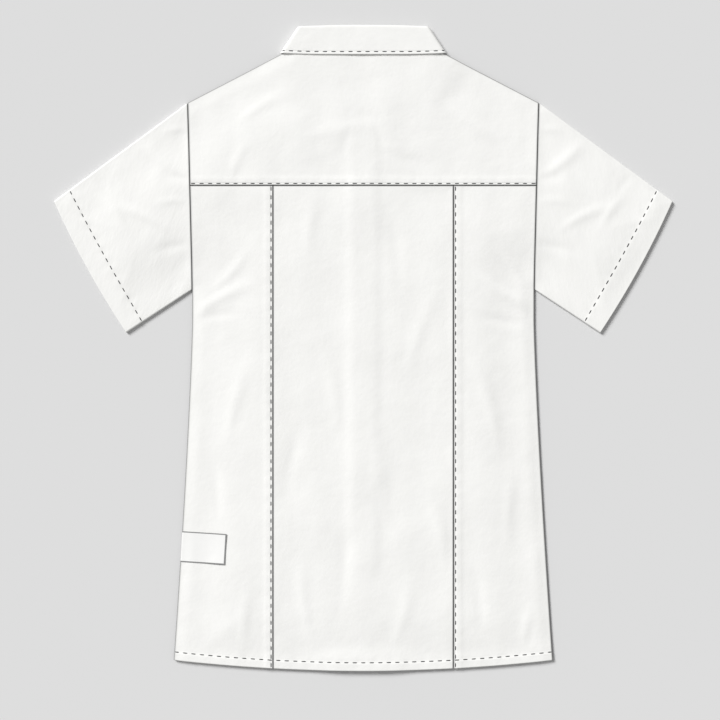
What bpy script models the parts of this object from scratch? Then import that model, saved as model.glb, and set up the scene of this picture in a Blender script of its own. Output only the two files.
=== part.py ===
"""Short-sleeved medical tunic, laid out flat on its front with its back up.

X runs across the tunic, +Y points from hem to collar, +Z up from the surface that it lies on. The
origin is the middle of its outline, on that surface. Lengths are in metres.

Every cloth piece is a wall between two skins of points. The pieces lie on each other in this order,
from the surface up: press studs and the turned-down front of the collar, outer (right) front, inner
(left) front, yoke and back panels, then the back of the collar and the side label. Functions of (x, y)
give the height of each layer, so that neighbouring pieces meet along their seams.
"""

import math
from typing import NamedTuple

import bmesh
import bpy
from mathutils import Vector

# Cloth and seams
CLOTH = 0.0012            # thickness of a cloth wall
HEM_EXTRA = 0.0004        # a turned hem is this much thicker than the wall
HEM_SLOPE = 0.0040        # length over which a sleeve's wall thickens to its hem
SEAM_GAP = 0.0003         # between two pieces at a seam
SEAM_REACH = 0.0150       # distance from a seam at which the layers no longer press together
REST_GAP = 0.0010         # between two layers that only lie on each other
AIR = 0.0036              # air between front and back in the middle of the body
AIR_REACH = 0.085         # distance from the outline at which the air has that height
AIR_BLEND = 0.0004        # rounds the line where that air ends and the layers rest on each other
OPEN_EDGE_SLACK = 0.020   # an open edge counts as this far away, so it closes less than a seam

# Outline of the back
LENGTH = 0.776            # fold of the collar to lowest point of the hem
COLLAR_DEPTH = 0.0356     # fold to outer edge of the collar, centre back
COLLAR_CROWN = 0.0013     # how much higher the fold is at centre back than at the neck's sides
COLLAR_FOLD_HALF = 0.0792
COLLAR_EDGE_HALF = 0.1002
SHOULDER_HALF = 0.2112
SHOULDER_DROP = 0.0576    # from the collar's edge to the shoulder point
YOKE_DEPTH = 0.1572       # from the collar's edge to the yoke seam
ARMHOLE_DEPTH = 0.2244
ARMHOLE_POWER = 1.3       # 1 is a straight armhole, more hollows it
CHEST_HALF = 0.2058
STRAIGHT_SIDE = 0.037     # from the underarm down to where the side seam starts to flare
FLARE_POWER = 1.27        # 1 is a straight flare, more hollows it
HEM_HALF = 0.2280
HEM_CURVE = 0.0129        # rise of the hem from centre back to the side seams
BODY_HEM = 0.0100
PANEL_SEAM = 0.1084       # centre back to each vertical panel seam

# Sleeve, measured from the shoulder point and from the underarm
OVERARM = 0.1994
OVERARM_FALL = math.radians(36.35)
UNDERARM = 0.0946
UNDERARM_FALL = math.radians(33.3)
CUFF_BULGE = 0.0038
SLEEVE_HEM = 0.0250

# Neck and collar
NECK_HALF = 0.0950
NECK_ROUNDNESS = 1.7      # 2 makes the front neckline half an ellipse, less brings it nearer a V
NECK_ANGLES = (0, 14, 28, 39, 50, 61, 71, 81, 90)     # degrees from centre front of its points
FRONT_NECK_DROP = 0.0804
FRONT_FOLD_DROP = 0.0880
COLLAR_POINT = Vector((0.052, 0.243))
COLLAR_BOW = 0.0050       # how far the front edge of the fall bows outward
COLLAR_END = 0.0010       # from centre front to each end of the collar
STAND_OFFSET = (CLOTH + REST_GAP) / 2     # collar's middle plane to its stand
FALL_OFFSET = STAND_OFFSET + CLOTH + SEAM_GAP
FALL_SPRING = 0.0005      # how much further out the fall stands at its edge than at its fold

# Front edges and press studs
FRONT_OVERLAP = 0.0350
STUD_COUNT = 6
STUD_SPACING = 0.100
FIRST_STUD = 0.258        # along Y
STUD_RADIUS = 0.0065
STUD_HEIGHT = 0.0018
STUD_BEVEL = 0.0006

# Side label
LABEL_LENGTH = 0.0536
LABEL_WIDTH = 0.0369
LABEL_THICKNESS = 0.0010
LABEL_HEIGHT = -0.2386    # middle of the label, along Y
LABEL_TILT = math.radians(-3.4)


class Spread(NamedTuple):
    """How far a lift reaches: its full height up to flat, then falling to 0 over fade."""

    flat: float
    fade: float


COLLAR_SPREAD = Spread(flat=COLLAR_BOW, fade=0.035)
STUD_SPREAD_ACROSS = Spread(flat=0.010, fade=0.025)
STUD_SPREAD_ALONG = Spread(flat=0.010, fade=0.045)
OVERLAP_SPREAD = Spread(flat=0.0045, fade=0.050)
NECKLINE_SPREAD = Spread(flat=0.010, fade=0.040)
HEM_SPREAD = Spread(flat=0.002, fade=0.020)

# Levels and points that follow from the sizes above
TOP = LENGTH / 2
HEM_LOW = -LENGTH / 2
COLLAR_EDGE = TOP - COLLAR_DEPTH
SHOULDER = Vector((SHOULDER_HALF, COLLAR_EDGE - SHOULDER_DROP))
ARMPIT = Vector((CHEST_HALF, SHOULDER.y - ARMHOLE_DEPTH))
YOKE_SEAM = COLLAR_EDGE - YOKE_DEPTH
HEM_CORNER = Vector((HEM_HALF, HEM_LOW + HEM_CURVE))
FLARE_START = ARMPIT.y - STRAIGHT_SIDE
CUFF_TOP = SHOULDER + OVERARM * Vector((math.cos(OVERARM_FALL), -math.sin(OVERARM_FALL)))
CUFF_BOTTOM = ARMPIT + UNDERARM * Vector((math.cos(UNDERARM_FALL), -math.sin(UNDERARM_FALL)))
SHOULDER_SLOPE = SHOULDER_DROP / (SHOULDER_HALF - COLLAR_EDGE_HALF)
NECK_SIDE = Vector((NECK_HALF, COLLAR_EDGE + SHOULDER_SLOPE * (COLLAR_EDGE_HALF - NECK_HALF)))
STUD_ROW_HALF = (STUD_COUNT - 1) * STUD_SPACING / 2
COLLAR_MIDDLE = FALL_OFFSET + FALL_SPRING + CLOTH / 2     # height of the collar's middle plane
COLLAR_LIFT = COLLAR_MIDDLE - STAND_OFFSET - CLOTH / 2    # what the collar lifts the fronts by
STUD_LIFT = STUD_HEIGHT + SEAM_GAP


def mix(start, end, share):
    return start + (end - start) * share


def smooth(share):
    """0 below 0, 1 above 1, and an S-curve between."""
    share = min(max(share, 0.0), 1.0)
    return share * share * (3 - 2 * share)


def fading(distance, spread):
    """1 up to the spread's flat distance, then falling to 0."""
    return 1 - smooth((distance - spread.flat) / spread.fade)


def shares(count):
    """count + 1 even steps from 0 to 1."""
    return [k / count for k in range(count + 1)]


def evenly(start, end, count):
    return [mix(start, end, share) for share in shares(count)]


# ---- Outline -------------------------------------------------------------------------------------

def half_width(y):
    """Centre line to side seam, or to armhole seam above the underarm."""
    if y > ARMPIT.y:
        rise = min((y - ARMPIT.y) / ARMHOLE_DEPTH, 1.0)
        return mix(CHEST_HALF, SHOULDER_HALF, rise ** ARMHOLE_POWER)
    fall = max((FLARE_START - y) / (FLARE_START - HEM_CORNER.y), 0.0)
    return mix(CHEST_HALF, HEM_HALF, fall ** FLARE_POWER)


def right_side(y):
    return half_width(y) - SEAM_GAP / 2


def left_side(y):
    return -right_side(y)


def hem(x):
    return HEM_LOW + HEM_CURVE * (x / HEM_HALF) ** 2


def hem_fold(x):
    return hem(x) + BODY_HEM


def chest(_x):
    return ARMPIT.y


def below_yoke(_x):
    return YOKE_SEAM - SEAM_GAP / 2


def above_yoke(_x):
    return YOKE_SEAM + SEAM_GAP / 2


def shoulder_line(x):
    return SHOULDER.y + SHOULDER_SLOPE * (SHOULDER_HALF - abs(x))


def back_top(x):
    return min(NECK_SIDE.y, shoulder_line(x))


def neck_curve(angle):
    """Shares of the front neckline's half width and drop, at an angle in degrees from centre front."""
    power = 2 / NECK_ROUNDNESS
    return math.sin(math.radians(angle)) ** power, math.cos(math.radians(angle)) ** power


def front_top(x):
    if abs(x) > NECK_HALF:
        return shoulder_line(x)
    inside = 1 - (abs(x) / NECK_HALF) ** NECK_ROUNDNESS
    return NECK_SIDE.y - FRONT_NECK_DROP * inside ** (1 / NECK_ROUNDNESS)


def sleeve_point(along, across):
    """Plan of the right sleeve: along from armhole to cuff, across from underarm to overarm fold."""
    seam = mix(ARMPIT, SHOULDER, across)
    seam.x = half_width(seam.y)
    cuff = mix(CUFF_BOTTOM, CUFF_TOP, across)
    outward = Vector((CUFF_TOP.y - CUFF_BOTTOM.y, CUFF_BOTTOM.x - CUFF_TOP.x)).normalized()
    return mix(seam, cuff + outward * CUFF_BULGE * 4 * across * (1 - across), along)


def distance_to_path(point, path):
    """Distance from a point to the nearest leg of a path."""
    best = math.inf
    for start, end in zip(path, path[1:]):
        leg = end - start
        share = min(max((point - start).dot(leg) / leg.length_squared, 0.0), 1.0)
        best = min(best, (point - start - leg * share).length)
    return best


SIDE_SEAM = [Vector((half_width(y), y)) for y in evenly(HEM_CORNER.y, ARMPIT.y, 6)]
SEWN_EDGES = [SIDE_SEAM, [NECK_SIDE, SHOULDER]]
FOLDED_EDGES = [[SHOULDER, CUFF_TOP], [ARMPIT, CUFF_BOTTOM]]
OPEN_EDGES = [
    [Vector((0, HEM_LOW)), HEM_CORNER],
    [CUFF_TOP, CUFF_BOTTOM],
    [Vector((0, NECK_SIDE.y)), NECK_SIDE],
]
COLLAR_PLAN = [
    Vector((0, TOP - FRONT_FOLD_DROP)),
    COLLAR_POINT,
    Vector((COLLAR_EDGE_HALF, COLLAR_EDGE)),
    Vector((0, TOP)),
]


# ---- Heights -------------------------------------------------------------------------------------

def nearest(x, y, paths):
    point = Vector((abs(x), y))
    return min(distance_to_path(point, path) for path in paths)


def over_collar(x, y):
    """1 where the turned-down collar lies under the fronts, fading to 0 outside it."""
    point = Vector((abs(x), y))
    inside = all(
        (end - start).cross(point - start) >= 0
        for start, end in zip(COLLAR_PLAN, COLLAR_PLAN[1:])
    )
    away = 0.0 if inside else distance_to_path(point, COLLAR_PLAN)
    return fading(away, COLLAR_SPREAD)


def over_studs(x, y):
    """1 along the row of press studs, fading to 0 on both sides and past its ends."""
    past_end = abs(y - FIRST_STUD + STUD_ROW_HALF) - STUD_ROW_HALF
    return fading(abs(x), STUD_SPREAD_ACROSS) * fading(past_end, STUD_SPREAD_ALONG)


def front_lift(x, y):
    """Underside of the outer front above the surface that the tunic lies on."""
    return max(COLLAR_LIFT * over_collar(x, y), STUD_LIFT * over_studs(x, y))


def over_hem(x, y):
    """What a turned hem lifts the layer over it by."""
    return HEM_EXTRA * fading(y - hem_fold(x), HEM_SPREAD)


def overlap_lift(x, y):
    """How much higher the inner front and the back lie over the overlapping front edges."""
    beside = fading(abs(x) - FRONT_OVERLAP / 2, OVERLAP_SPREAD)
    above = fading(y - front_top(0.0), NECKLINE_SPREAD)
    return (CLOTH + SEAM_GAP + over_hem(x, y)) * beside * above


def inner_front_lift(x, y):
    return front_lift(x, y) + overlap_lift(min(x, 0.0), y)


def back_lift(x, y):
    """Underside of the yoke, the back panels and the upper side of the sleeves."""
    sewn = nearest(x, y, SEWN_EDGES)
    closed = min(sewn, nearest(x, y, FOLDED_EDGES))
    edge = min(closed, nearest(x, y, OPEN_EDGES) + OPEN_EDGE_SLACK)
    gap = mix(SEAM_GAP, REST_GAP, smooth(sewn / SEAM_REACH))
    resting = front_lift(x, y) + overlap_lift(x, y) + over_hem(x, y) + gap
    airy = AIR * smooth(edge / AIR_REACH)
    return CLOTH + (resting + airy + math.hypot(resting - airy, AIR_BLEND)) / 2


# ---- Building walls ------------------------------------------------------------------------------

def material(name, colour, roughness, metallic=0.0):
    made = bpy.data.materials.new(name)
    made.use_nodes = True
    shader = made.node_tree.nodes["Principled BSDF"]
    shader.inputs["Base Color"].default_value = (*colour, 1.0)
    shader.inputs["Roughness"].default_value = roughness
    shader.inputs["Metallic"].default_value = metallic
    return made


def add_object(name, bm, finish, location=(0.0, 0.0, 0.0)):
    bmesh.ops.recalc_face_normals(bm, faces=bm.faces)
    mesh = bpy.data.meshes.new(name)
    bm.to_mesh(mesh)
    bm.free()
    mesh.shade_smooth()
    mesh.set_sharp_from_angle(angle=math.radians(40))
    mesh.materials.append(finish)
    made = bpy.data.objects.new(name, mesh)
    made.location = location
    bpy.context.scene.collection.objects.link(made)
    return made


def cloth_wall(name, outer, inner, finish, wrap=False):
    """A closed wall between two grids of points. With wrap, the last row joins the first."""
    bm = bmesh.new()
    skins = [[[bm.verts.new(p) for p in row] for row in skin] for skin in (outer, inner)]
    out, back = skins
    rows, last = len(outer), len(outer[0]) - 1
    for i in range(rows if wrap else rows - 1):
        k = (i + 1) % rows
        for j in range(last):
            for skin in skins:
                bm.faces.new((skin[i][j], skin[k][j], skin[k][j + 1], skin[i][j + 1]))
        for j in (0, last):
            bm.faces.new((out[i][j], out[k][j], back[k][j], back[i][j]))
    if not wrap:
        for i in (0, rows - 1):
            for j in range(last):
                bm.faces.new((out[i][j], out[i][j + 1], back[i][j + 1], back[i][j]))
    return add_object(name, bm, finish)


def crossing(curve, share, left, right):
    """Height at which a column of a panel, at its share of the panel's width, meets a curve."""
    y = curve(0.0)
    for _ in range(4):
        y = curve(mix(left(y), right(y), share))
    return y


def panel_grid(left, right, tops, curves, steps):
    """Plan of a panel, column by column.

    left and right give its sides at a height, tops the x of each column at its upper edge, curves the
    lines that it crosses from its lower to its upper edge, and steps the rows between them.
    """
    high = curves[-1](tops[len(tops) // 2])
    grid = []
    for x in tops:
        share = (x - left(high)) / (right(high) - left(high))
        levels = [crossing(curve, share, left, right) for curve in curves]
        heights = [levels[0]]
        for low, up, count in zip(levels, levels[1:], steps):
            heights += [mix(low, up, s) for s in shares(count)[1:]]
        grid.append([Vector((mix(left(y), right(y), share), y)) for y in heights])
    return grid


def panel(name, grid, lift, finish, hem_rows=0):
    """A panel whose underside follows lift. Its first hem_rows rows of faces are the turned hem."""
    under = [[p.to_3d() + Vector((0, 0, lift(p.x, p.y))) for p in column] for column in grid]
    over = [
        [
            p + Vector((0, 0, CLOTH + (HEM_EXTRA if j < hem_rows else 0.0)))
            for j, p in enumerate(column)
        ]
        for column in under
    ]
    return cloth_wall(name, over, under, finish)


# ---- Body ----------------------------------------------------------------------------------------

def mirrored(grid):
    """The plan of the panel on the other side."""
    return [[Vector((-p.x, p.y)) for p in column] for column in reversed(grid)]


def build_back(cloth):
    edge = PANEL_SEAM - SEAM_GAP / 2
    far = PANEL_SEAM + SEAM_GAP / 2
    curves = [hem, hem_fold, chest, below_yoke]
    steps = (1, 10, 4)
    centre = panel_grid(lambda y: -edge, lambda y: edge, evenly(-edge, edge, 10), curves, steps)
    panel("back_centre_panel", centre, back_lift, cloth, hem_rows=2)
    tops = evenly(far, right_side(YOKE_SEAM), 7)
    side = panel_grid(lambda y: far, right_side, tops, curves, steps)
    panel("back_side_panel_right", side, back_lift, cloth, hem_rows=2)
    panel("back_side_panel_left", mirrored(side), back_lift, cloth, hem_rows=2)


def build_yoke(cloth):
    right = evenly(0.0, NECK_HALF, 5)[1:] + evenly(NECK_HALF, right_side(SHOULDER.y), 6)[1:]
    tops = [-x for x in reversed(right)] + [0.0] + right
    grid = panel_grid(left_side, right_side, tops, [above_yoke, back_top], (8,))
    panel("back_yoke", grid, back_lift, cloth)


def build_fronts(cloth):
    """The outer front lies under the inner one, and their edges overlap at centre front."""
    edge = FRONT_OVERLAP / 2
    overlap = evenly(-edge, edge, 4)
    neck = [NECK_HALF * neck_curve(angle)[0] for angle in NECK_ANGLES[2:]]
    shoulder = evenly(NECK_HALF, right_side(SHOULDER.y), 6)[1:]
    curves = [hem, hem_fold, chest, front_top]
    tops = overlap + neck + shoulder
    outer = panel_grid(lambda y: -edge, right_side, tops, curves, (1, 10, 7))
    panel("front_right", outer, front_lift, cloth, hem_rows=2)
    panel("front_left", mirrored(outer), inner_front_lift, cloth, hem_rows=2)


# ---- Sleeves -------------------------------------------------------------------------------------

SLEEVE_COLUMNS = (0.0, 0.04, 0.12, 0.25, 0.40, 0.60, 0.75, 0.88, 0.96, 1.0)
BEND_ANGLES = (60, 20, -20, -60)


def sleeve_ring(along, raised):
    """Outer and inner loop of the flattened sleeve at one place along it, round its two folds."""
    width = (sleeve_point(along, 1.0) - sleeve_point(along, 0.0)).length
    ends = []
    for end in (1.0, 0.0):
        tip = sleeve_point(along, end)
        radius = (back_lift(tip.x, tip.y) + CLOTH + raised) / 2
        inset = radius / width
        middle = sleeve_point(along, abs(end - inset))
        ends.append((middle, (tip - middle).normalized(), radius, inset))
    low, high = ends[1][3], 1 - ends[0][3]
    plan = [sleeve_point(along, mix(low, high, across)) for across in SLEEVE_COLUMNS]
    upper = [(p, back_lift(p.x, p.y)) for p in plan]
    outer = [p.to_3d() + Vector((0, 0, z + CLOTH + raised)) for p, z in upper]
    inner = [p.to_3d() + Vector((0, 0, z)) for p, z in upper]

    def bend(end, angles):
        middle, outward, radius, _ = ends[end]
        for angle in angles:
            turn = math.radians(angle)
            way = outward.to_3d() * math.cos(turn) + Vector((0, 0, math.sin(turn)))
            centre = middle.to_3d() + Vector((0, 0, radius))
            outer.append(centre + way * radius)
            inner.append(centre + way * (radius - CLOTH - raised))

    bend(0, BEND_ANGLES)
    outer.extend(p.to_3d() for p in reversed(plan))
    inner.extend(p.to_3d() + Vector((0, 0, CLOTH + raised)) for p in reversed(plan))
    bend(1, reversed(BEND_ANGLES))
    return outer, inner


def build_sleeve(name, side, cloth):
    """side is 1 for the right-hand sleeve and -1 for the left-hand one."""
    start = SEAM_GAP / OVERARM
    fold = 1 - SLEEVE_HEM / OVERARM
    stations = evenly(start, fold - HEM_SLOPE / OVERARM, 6) + [fold, 1.0]
    rings = [sleeve_ring(a, HEM_EXTRA if a >= fold else 0.0) for a in stations]
    turned = Vector((side, 1, 1))
    outer = [[p * turned for p in points] for points in zip(*(ring[0] for ring in rings))]
    inner = [[p * turned for p in points] for points in zip(*(ring[1] for ring in rings))]
    cloth_wall(name, outer, inner, cloth, wrap=True)


# ---- Collar --------------------------------------------------------------------------------------

def collar_half():
    """Stations of the collar's right half, from centre back round the neck's side to centre front.

    Each holds the plan of its neck edge, fold and outer edge, and the way that its outside faces.
    """
    fold_roll = (FALL_OFFSET - STAND_OFFSET) / 2 + CLOTH / 2
    out = FALL_OFFSET + CLOTH / 2
    slant = Vector((COLLAR_EDGE_HALF - COLLAR_FOLD_HALF, -COLLAR_DEPTH)).normalized()
    outward = Vector((-slant.y, slant.x))
    fold_side = Vector((COLLAR_FOLD_HALF, TOP - fold_roll - COLLAR_CROWN)) - Vector((out / outward.x, 0))
    corner = Vector((COLLAR_EDGE_HALF, COLLAR_EDGE))
    clear = shoulder_line((corner - outward * CLOTH).x) - (corner - outward * CLOTH).y + SEAM_GAP
    edge_side = corner + Vector((-(out + FALL_SPRING) / outward.x, clear))
    neck_side = NECK_SIDE + Vector((-SEAM_GAP, SEAM_GAP))
    up, down = Vector((0, 0, 1)), Vector((0, 0, -1))

    stations = []
    for share in shares(5):
        neck = neck_side * Vector((share, 1))
        fold = fold_side * Vector((share, 1)) + Vector((0, COLLAR_CROWN * (1 - share ** 2)))
        edge = Vector((edge_side.x * share, COLLAR_EDGE + clear * share ** 4))
        stations.append((neck, fold, edge, up))
    for angle in range(30, 180, 30):
        turn = math.radians(angle)
        way = up * math.cos(turn) + outward.to_3d() * math.sin(turn)
        slide = -slant * math.sin(turn) * outward.y / slant.y
        neck = neck_side + slide * STAND_OFFSET
        stations.append((neck, fold_side + slide * out, edge_side + slide * out, way))
    for angle in reversed(NECK_ANGLES):
        out_share, drop_share = neck_curve(angle)
        neck = neck_side * Vector((out_share, 1)) - Vector((0, FRONT_NECK_DROP * drop_share))
        fold = fold_side * Vector((out_share, 1)) - Vector((0, FRONT_FOLD_DROP * drop_share))
        for point in (neck, fold):
            point.x = max(point.x, COLLAR_END)
        forward = 1 - angle / 90
        bow = Vector((COLLAR_BOW * 4 * forward * (1 - forward), 0))
        stations.append((neck, fold, mix(edge_side, COLLAR_POINT, forward) + bow, down))
    return stations


def collar_section(neck, fold, edge, way):
    """The two skins of the collar at one station: along the stand, round the fold, along the fall."""
    half = CLOTH / 2
    roll = (FALL_OFFSET - STAND_OFFSET) / 2
    roll_middle = (FALL_OFFSET + STAND_OFFSET) / 2
    rise = ((fold - neck).normalized() + (fold - edge).normalized()).normalized().to_3d()
    level = Vector((0, 0, COLLAR_MIDDLE))
    outer, inner = [], []
    for share in shares(3)[:-1]:
        base = mix(neck, fold, share).to_3d() + level
        outer.append(base + way * (STAND_OFFSET - half))
        inner.append(base + way * (STAND_OFFSET + half))
    for angle in range(0, 225, 45):
        turn = math.radians(angle)
        for skin, radius in ((outer, roll + half), (inner, roll - half)):
            lean = rise * radius * math.sin(turn) + way * (roll_middle - radius * math.cos(turn))
            skin.append(fold.to_3d() + level + lean)
    for share in shares(4)[1:]:
        base = mix(fold, edge, share).to_3d() + level
        offset = FALL_OFFSET + FALL_SPRING * share
        outer.append(base + way * (offset + half))
        inner.append(base + way * (offset - half))
    return outer, inner


def build_collar(cloth):
    right = collar_half()
    flip = Vector((-1, 1))
    left = [
        (neck * flip, fold * flip, edge * flip, Vector((-way.x, way.y, way.z)))
        for neck, fold, edge, way in reversed(right[1:])
    ]
    sections = [collar_section(*station) for station in left + right]
    outer = [section[0] for section in sections]
    inner = [section[1] for section in sections]
    cloth_wall("collar", outer, inner, cloth)


# ---- Small pieces --------------------------------------------------------------------------------

def build_label(ribbon):
    """A plain label whose end is sewn into the left side seam. It lies on the back."""
    along = Vector((math.cos(LABEL_TILT), math.sin(LABEL_TILT)))
    across = Vector((-along.y, along.x))
    seam = Vector((SEAM_GAP - half_width(LABEL_HEIGHT), LABEL_HEIGHT))
    grid = [
        [seam + along * LABEL_LENGTH * a + across * LABEL_WIDTH * (b - 0.5) for b in shares(3)]
        for a in shares(8)
    ]
    under = [
        [p.to_3d() + Vector((0, 0, back_lift(p.x, p.y) + CLOTH + SEAM_GAP)) for p in column]
        for column in grid
    ]
    over = [[p + Vector((0, 0, LABEL_THICKNESS)) for p in column] for column in under]
    cloth_wall("side_label", over, under, ribbon)


def build_press_studs(plastic):
    for k in range(STUD_COUNT):
        bm = bmesh.new()
        bmesh.ops.create_cone(
            bm, cap_ends=True, segments=20, radius1=STUD_RADIUS, radius2=STUD_RADIUS, depth=STUD_HEIGHT
        )
        rim = [e for e in bm.edges if all(v.co.z < 0 for v in e.verts)]
        bmesh.ops.bevel(
            bm, geom=rim, offset=STUD_BEVEL, segments=2, profile=0.5, affect="EDGES", material=-1
        )
        place = (0.0, FIRST_STUD - k * STUD_SPACING, STUD_HEIGHT / 2)
        add_object(f"press_stud_{k + 1}", bm, plastic, place)


def main():
    for old in list(bpy.data.objects):
        bpy.data.objects.remove(old)
    cloth = material("white_twill", (0.89, 0.89, 0.87), 0.85)
    ribbon = material("label_ribbon", (0.86, 0.86, 0.86), 0.6)
    plastic = material("stud_plastic", (0.87, 0.87, 0.86), 0.3)
    build_back(cloth)
    build_yoke(cloth)
    build_fronts(cloth)
    build_sleeve("sleeve_right", 1, cloth)
    build_sleeve("sleeve_left", -1, cloth)
    build_collar(cloth)
    build_label(ribbon)
    build_press_studs(plastic)


main()
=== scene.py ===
"""The looks of a short-sleeved medical tunic, laid out flat with its back up.

Each cloth piece is a thin sheet on the form of its solid: a grid is bent to the cut of the piece, lifted
to its layer, given seams, hems and creases, and thickened. Topstitching, label and press studs follow.
Lengths are in metres, and X, Y and Z are those of the solids.
"""

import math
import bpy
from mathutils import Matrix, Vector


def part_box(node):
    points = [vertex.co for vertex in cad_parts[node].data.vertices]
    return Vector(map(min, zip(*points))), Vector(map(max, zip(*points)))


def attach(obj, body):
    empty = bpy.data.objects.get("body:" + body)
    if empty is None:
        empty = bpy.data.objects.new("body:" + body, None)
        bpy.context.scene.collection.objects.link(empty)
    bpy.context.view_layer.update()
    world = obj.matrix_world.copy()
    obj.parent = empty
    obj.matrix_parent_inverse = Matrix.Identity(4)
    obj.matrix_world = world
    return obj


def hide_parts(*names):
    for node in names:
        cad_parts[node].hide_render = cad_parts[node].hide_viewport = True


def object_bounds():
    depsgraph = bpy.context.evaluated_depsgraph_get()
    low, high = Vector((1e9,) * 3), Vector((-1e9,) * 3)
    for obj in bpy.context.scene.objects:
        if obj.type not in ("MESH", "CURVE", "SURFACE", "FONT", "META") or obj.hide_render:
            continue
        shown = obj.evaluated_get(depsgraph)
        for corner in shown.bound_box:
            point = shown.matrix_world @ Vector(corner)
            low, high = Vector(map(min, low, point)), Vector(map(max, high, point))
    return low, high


bl_info = {
    "name": "Medical tunic",
    "version": (1, 0, 0),
    "blender": (4, 5, 0),
    "location": "3D View > Sidebar > Tunic",
    "description": "Dresses the flat tunic in twill, with seams, topstitching, label and press studs",
    "category": "Object",
}

from typing import NamedTuple

import bmesh
import bpy
import numpy as np
from bpy.props import FloatProperty, FloatVectorProperty, PointerProperty
from mathutils import Matrix, Vector
from mathutils.bvhtree import BVHTree

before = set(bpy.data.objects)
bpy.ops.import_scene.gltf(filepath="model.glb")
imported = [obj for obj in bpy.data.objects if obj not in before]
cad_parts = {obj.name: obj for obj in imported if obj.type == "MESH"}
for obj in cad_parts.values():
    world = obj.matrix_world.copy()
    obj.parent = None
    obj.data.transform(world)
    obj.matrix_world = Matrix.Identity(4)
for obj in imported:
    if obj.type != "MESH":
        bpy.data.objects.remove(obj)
SOLIDS_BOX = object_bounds()
BODY = "root"

# ---- Cut of the tunic, as on its solids ----

WALL = 0.0012             # thickness of the solids' walls
SEAM_GAP = 0.0003         # between two pieces at a seam
SEAM_REACH = 0.015        # distance from a seam at which the layers no longer press together
REST_GAP = 0.0010         # between two layers that only lie on each other
HEM_EXTRA = 0.0004        # a turned hem is this much thicker than the wall
AIR = 0.0036              # air between front and back in the middle of the body
AIR_REACH = 0.085         # distance from the outline at which the air has that height
AIR_BLEND = 0.0004        # rounds the line where that air ends and the layers rest on each other
OPEN_EDGE_SLACK = 0.020   # an open edge counts as this far away, so it closes less than a seam

HEM_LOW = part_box("back_centre_panel")[0].y
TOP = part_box("collar")[1].y
COLLAR_DEPTH = 0.0356     # fold to outer edge of the collar, centre back
COLLAR_CROWN = 0.0013     # how much higher the fold is at centre back than at the neck's sides
COLLAR_FOLD_HALF = 0.0792
COLLAR_EDGE_HALF = 0.1002
SHOULDER_HALF = 0.2112
SHOULDER_DROP = 0.0576    # from the collar's edge to the shoulder point
ARMHOLE_DEPTH = 0.2244
ARMHOLE_POWER = 1.3       # 1 is a straight armhole, more hollows it
CHEST_HALF = 0.2058
STRAIGHT_SIDE = 0.037     # from the underarm down to where the side seam starts to flare
FLARE_POWER = 1.27        # 1 is a straight flare, more hollows it
HEM_HALF = 0.2280
HEM_CURVE = 0.0129        # rise of the hem from centre back to the side seams
BODY_HEM = 0.0100

PANEL_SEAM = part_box("back_centre_panel")[1].x + SEAM_GAP / 2
CENTRE_HALF, SIDE_START = PANEL_SEAM - SEAM_GAP / 2, PANEL_SEAM + SEAM_GAP / 2
YOKE_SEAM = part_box("back_yoke")[0].y - SEAM_GAP / 2
YOKE_LOW, PANEL_TOP = YOKE_SEAM + SEAM_GAP / 2, YOKE_SEAM - SEAM_GAP / 2
COLLAR_EDGE = TOP - COLLAR_DEPTH
SHOULDER = Vector((SHOULDER_HALF, COLLAR_EDGE - SHOULDER_DROP))
ARMPIT = Vector((CHEST_HALF, SHOULDER.y - ARMHOLE_DEPTH))
FLARE_START = ARMPIT.y - STRAIGHT_SIDE
HEM_CORNER = Vector((HEM_HALF, HEM_LOW + HEM_CURVE))
SHOULDER_SLOPE = (COLLAR_EDGE - SHOULDER.y) / (SHOULDER.x - COLLAR_EDGE_HALF)

OVERARM, OVERARM_FALL = 0.1994, math.radians(36.35)
UNDERARM, UNDERARM_FALL = 0.0946, math.radians(33.3)
CUFF_TOP = SHOULDER + OVERARM * Vector((math.cos(OVERARM_FALL), -math.sin(OVERARM_FALL)))
CUFF_BOTTOM = ARMPIT + UNDERARM * Vector((math.cos(UNDERARM_FALL), -math.sin(UNDERARM_FALL)))
CUFF_BULGE = 0.0038
SLEEVE_HEM = 0.0230       # cuff to its stitches, at both folds of the sleeve
SLEEVE_HEM_BOW = 0.0018   # how much further the stitches are from the cuff half way between them

NECK_HALF = 0.0950
NECK_SIDE = Vector((NECK_HALF, COLLAR_EDGE + SHOULDER_SLOPE * (COLLAR_EDGE_HALF - NECK_HALF)))
NECK_ROUNDNESS = 1.7      # 2 makes the front neckline half an ellipse, less brings it nearer a V
FRONT_NECK_DROP = 0.0804
FRONT_FOLD_DROP = 0.0880
COLLAR_POINT = Vector((0.052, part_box("collar")[0].y))
COLLAR_BOW = 0.0050       # how far the front edge of the fall bows outward
COLLAR_END = 0.0010       # from centre front to each end of the collar
STAND_OFFSET = (WALL + REST_GAP) / 2      # collar's middle plane to its stand
FALL_OFFSET = STAND_OFFSET + WALL + SEAM_GAP
FALL_SPRING = 0.0005      # how much further out the fall stands at its edge than at its fold
COLLAR_MIDDLE = FALL_OFFSET + FALL_SPRING + WALL / 2      # height of the collar's middle plane
COLLAR_LIFT = COLLAR_MIDDLE - STAND_OFFSET - WALL / 2     # what the collar lifts the fronts by

FRONT_OVERLAP = 0.0350
STUD_NODES = sorted(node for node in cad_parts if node.startswith("press_stud"))
STUD_ROW = sorted((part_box(node)[0].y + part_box(node)[1].y) / 2 for node in STUD_NODES)
STUD_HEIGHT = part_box(STUD_NODES[0])[1].z
STUD_RADIUS = (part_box(STUD_NODES[0])[1].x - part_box(STUD_NODES[0])[0].x) / 2
STUD_LIFT = STUD_HEIGHT + SEAM_GAP

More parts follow.
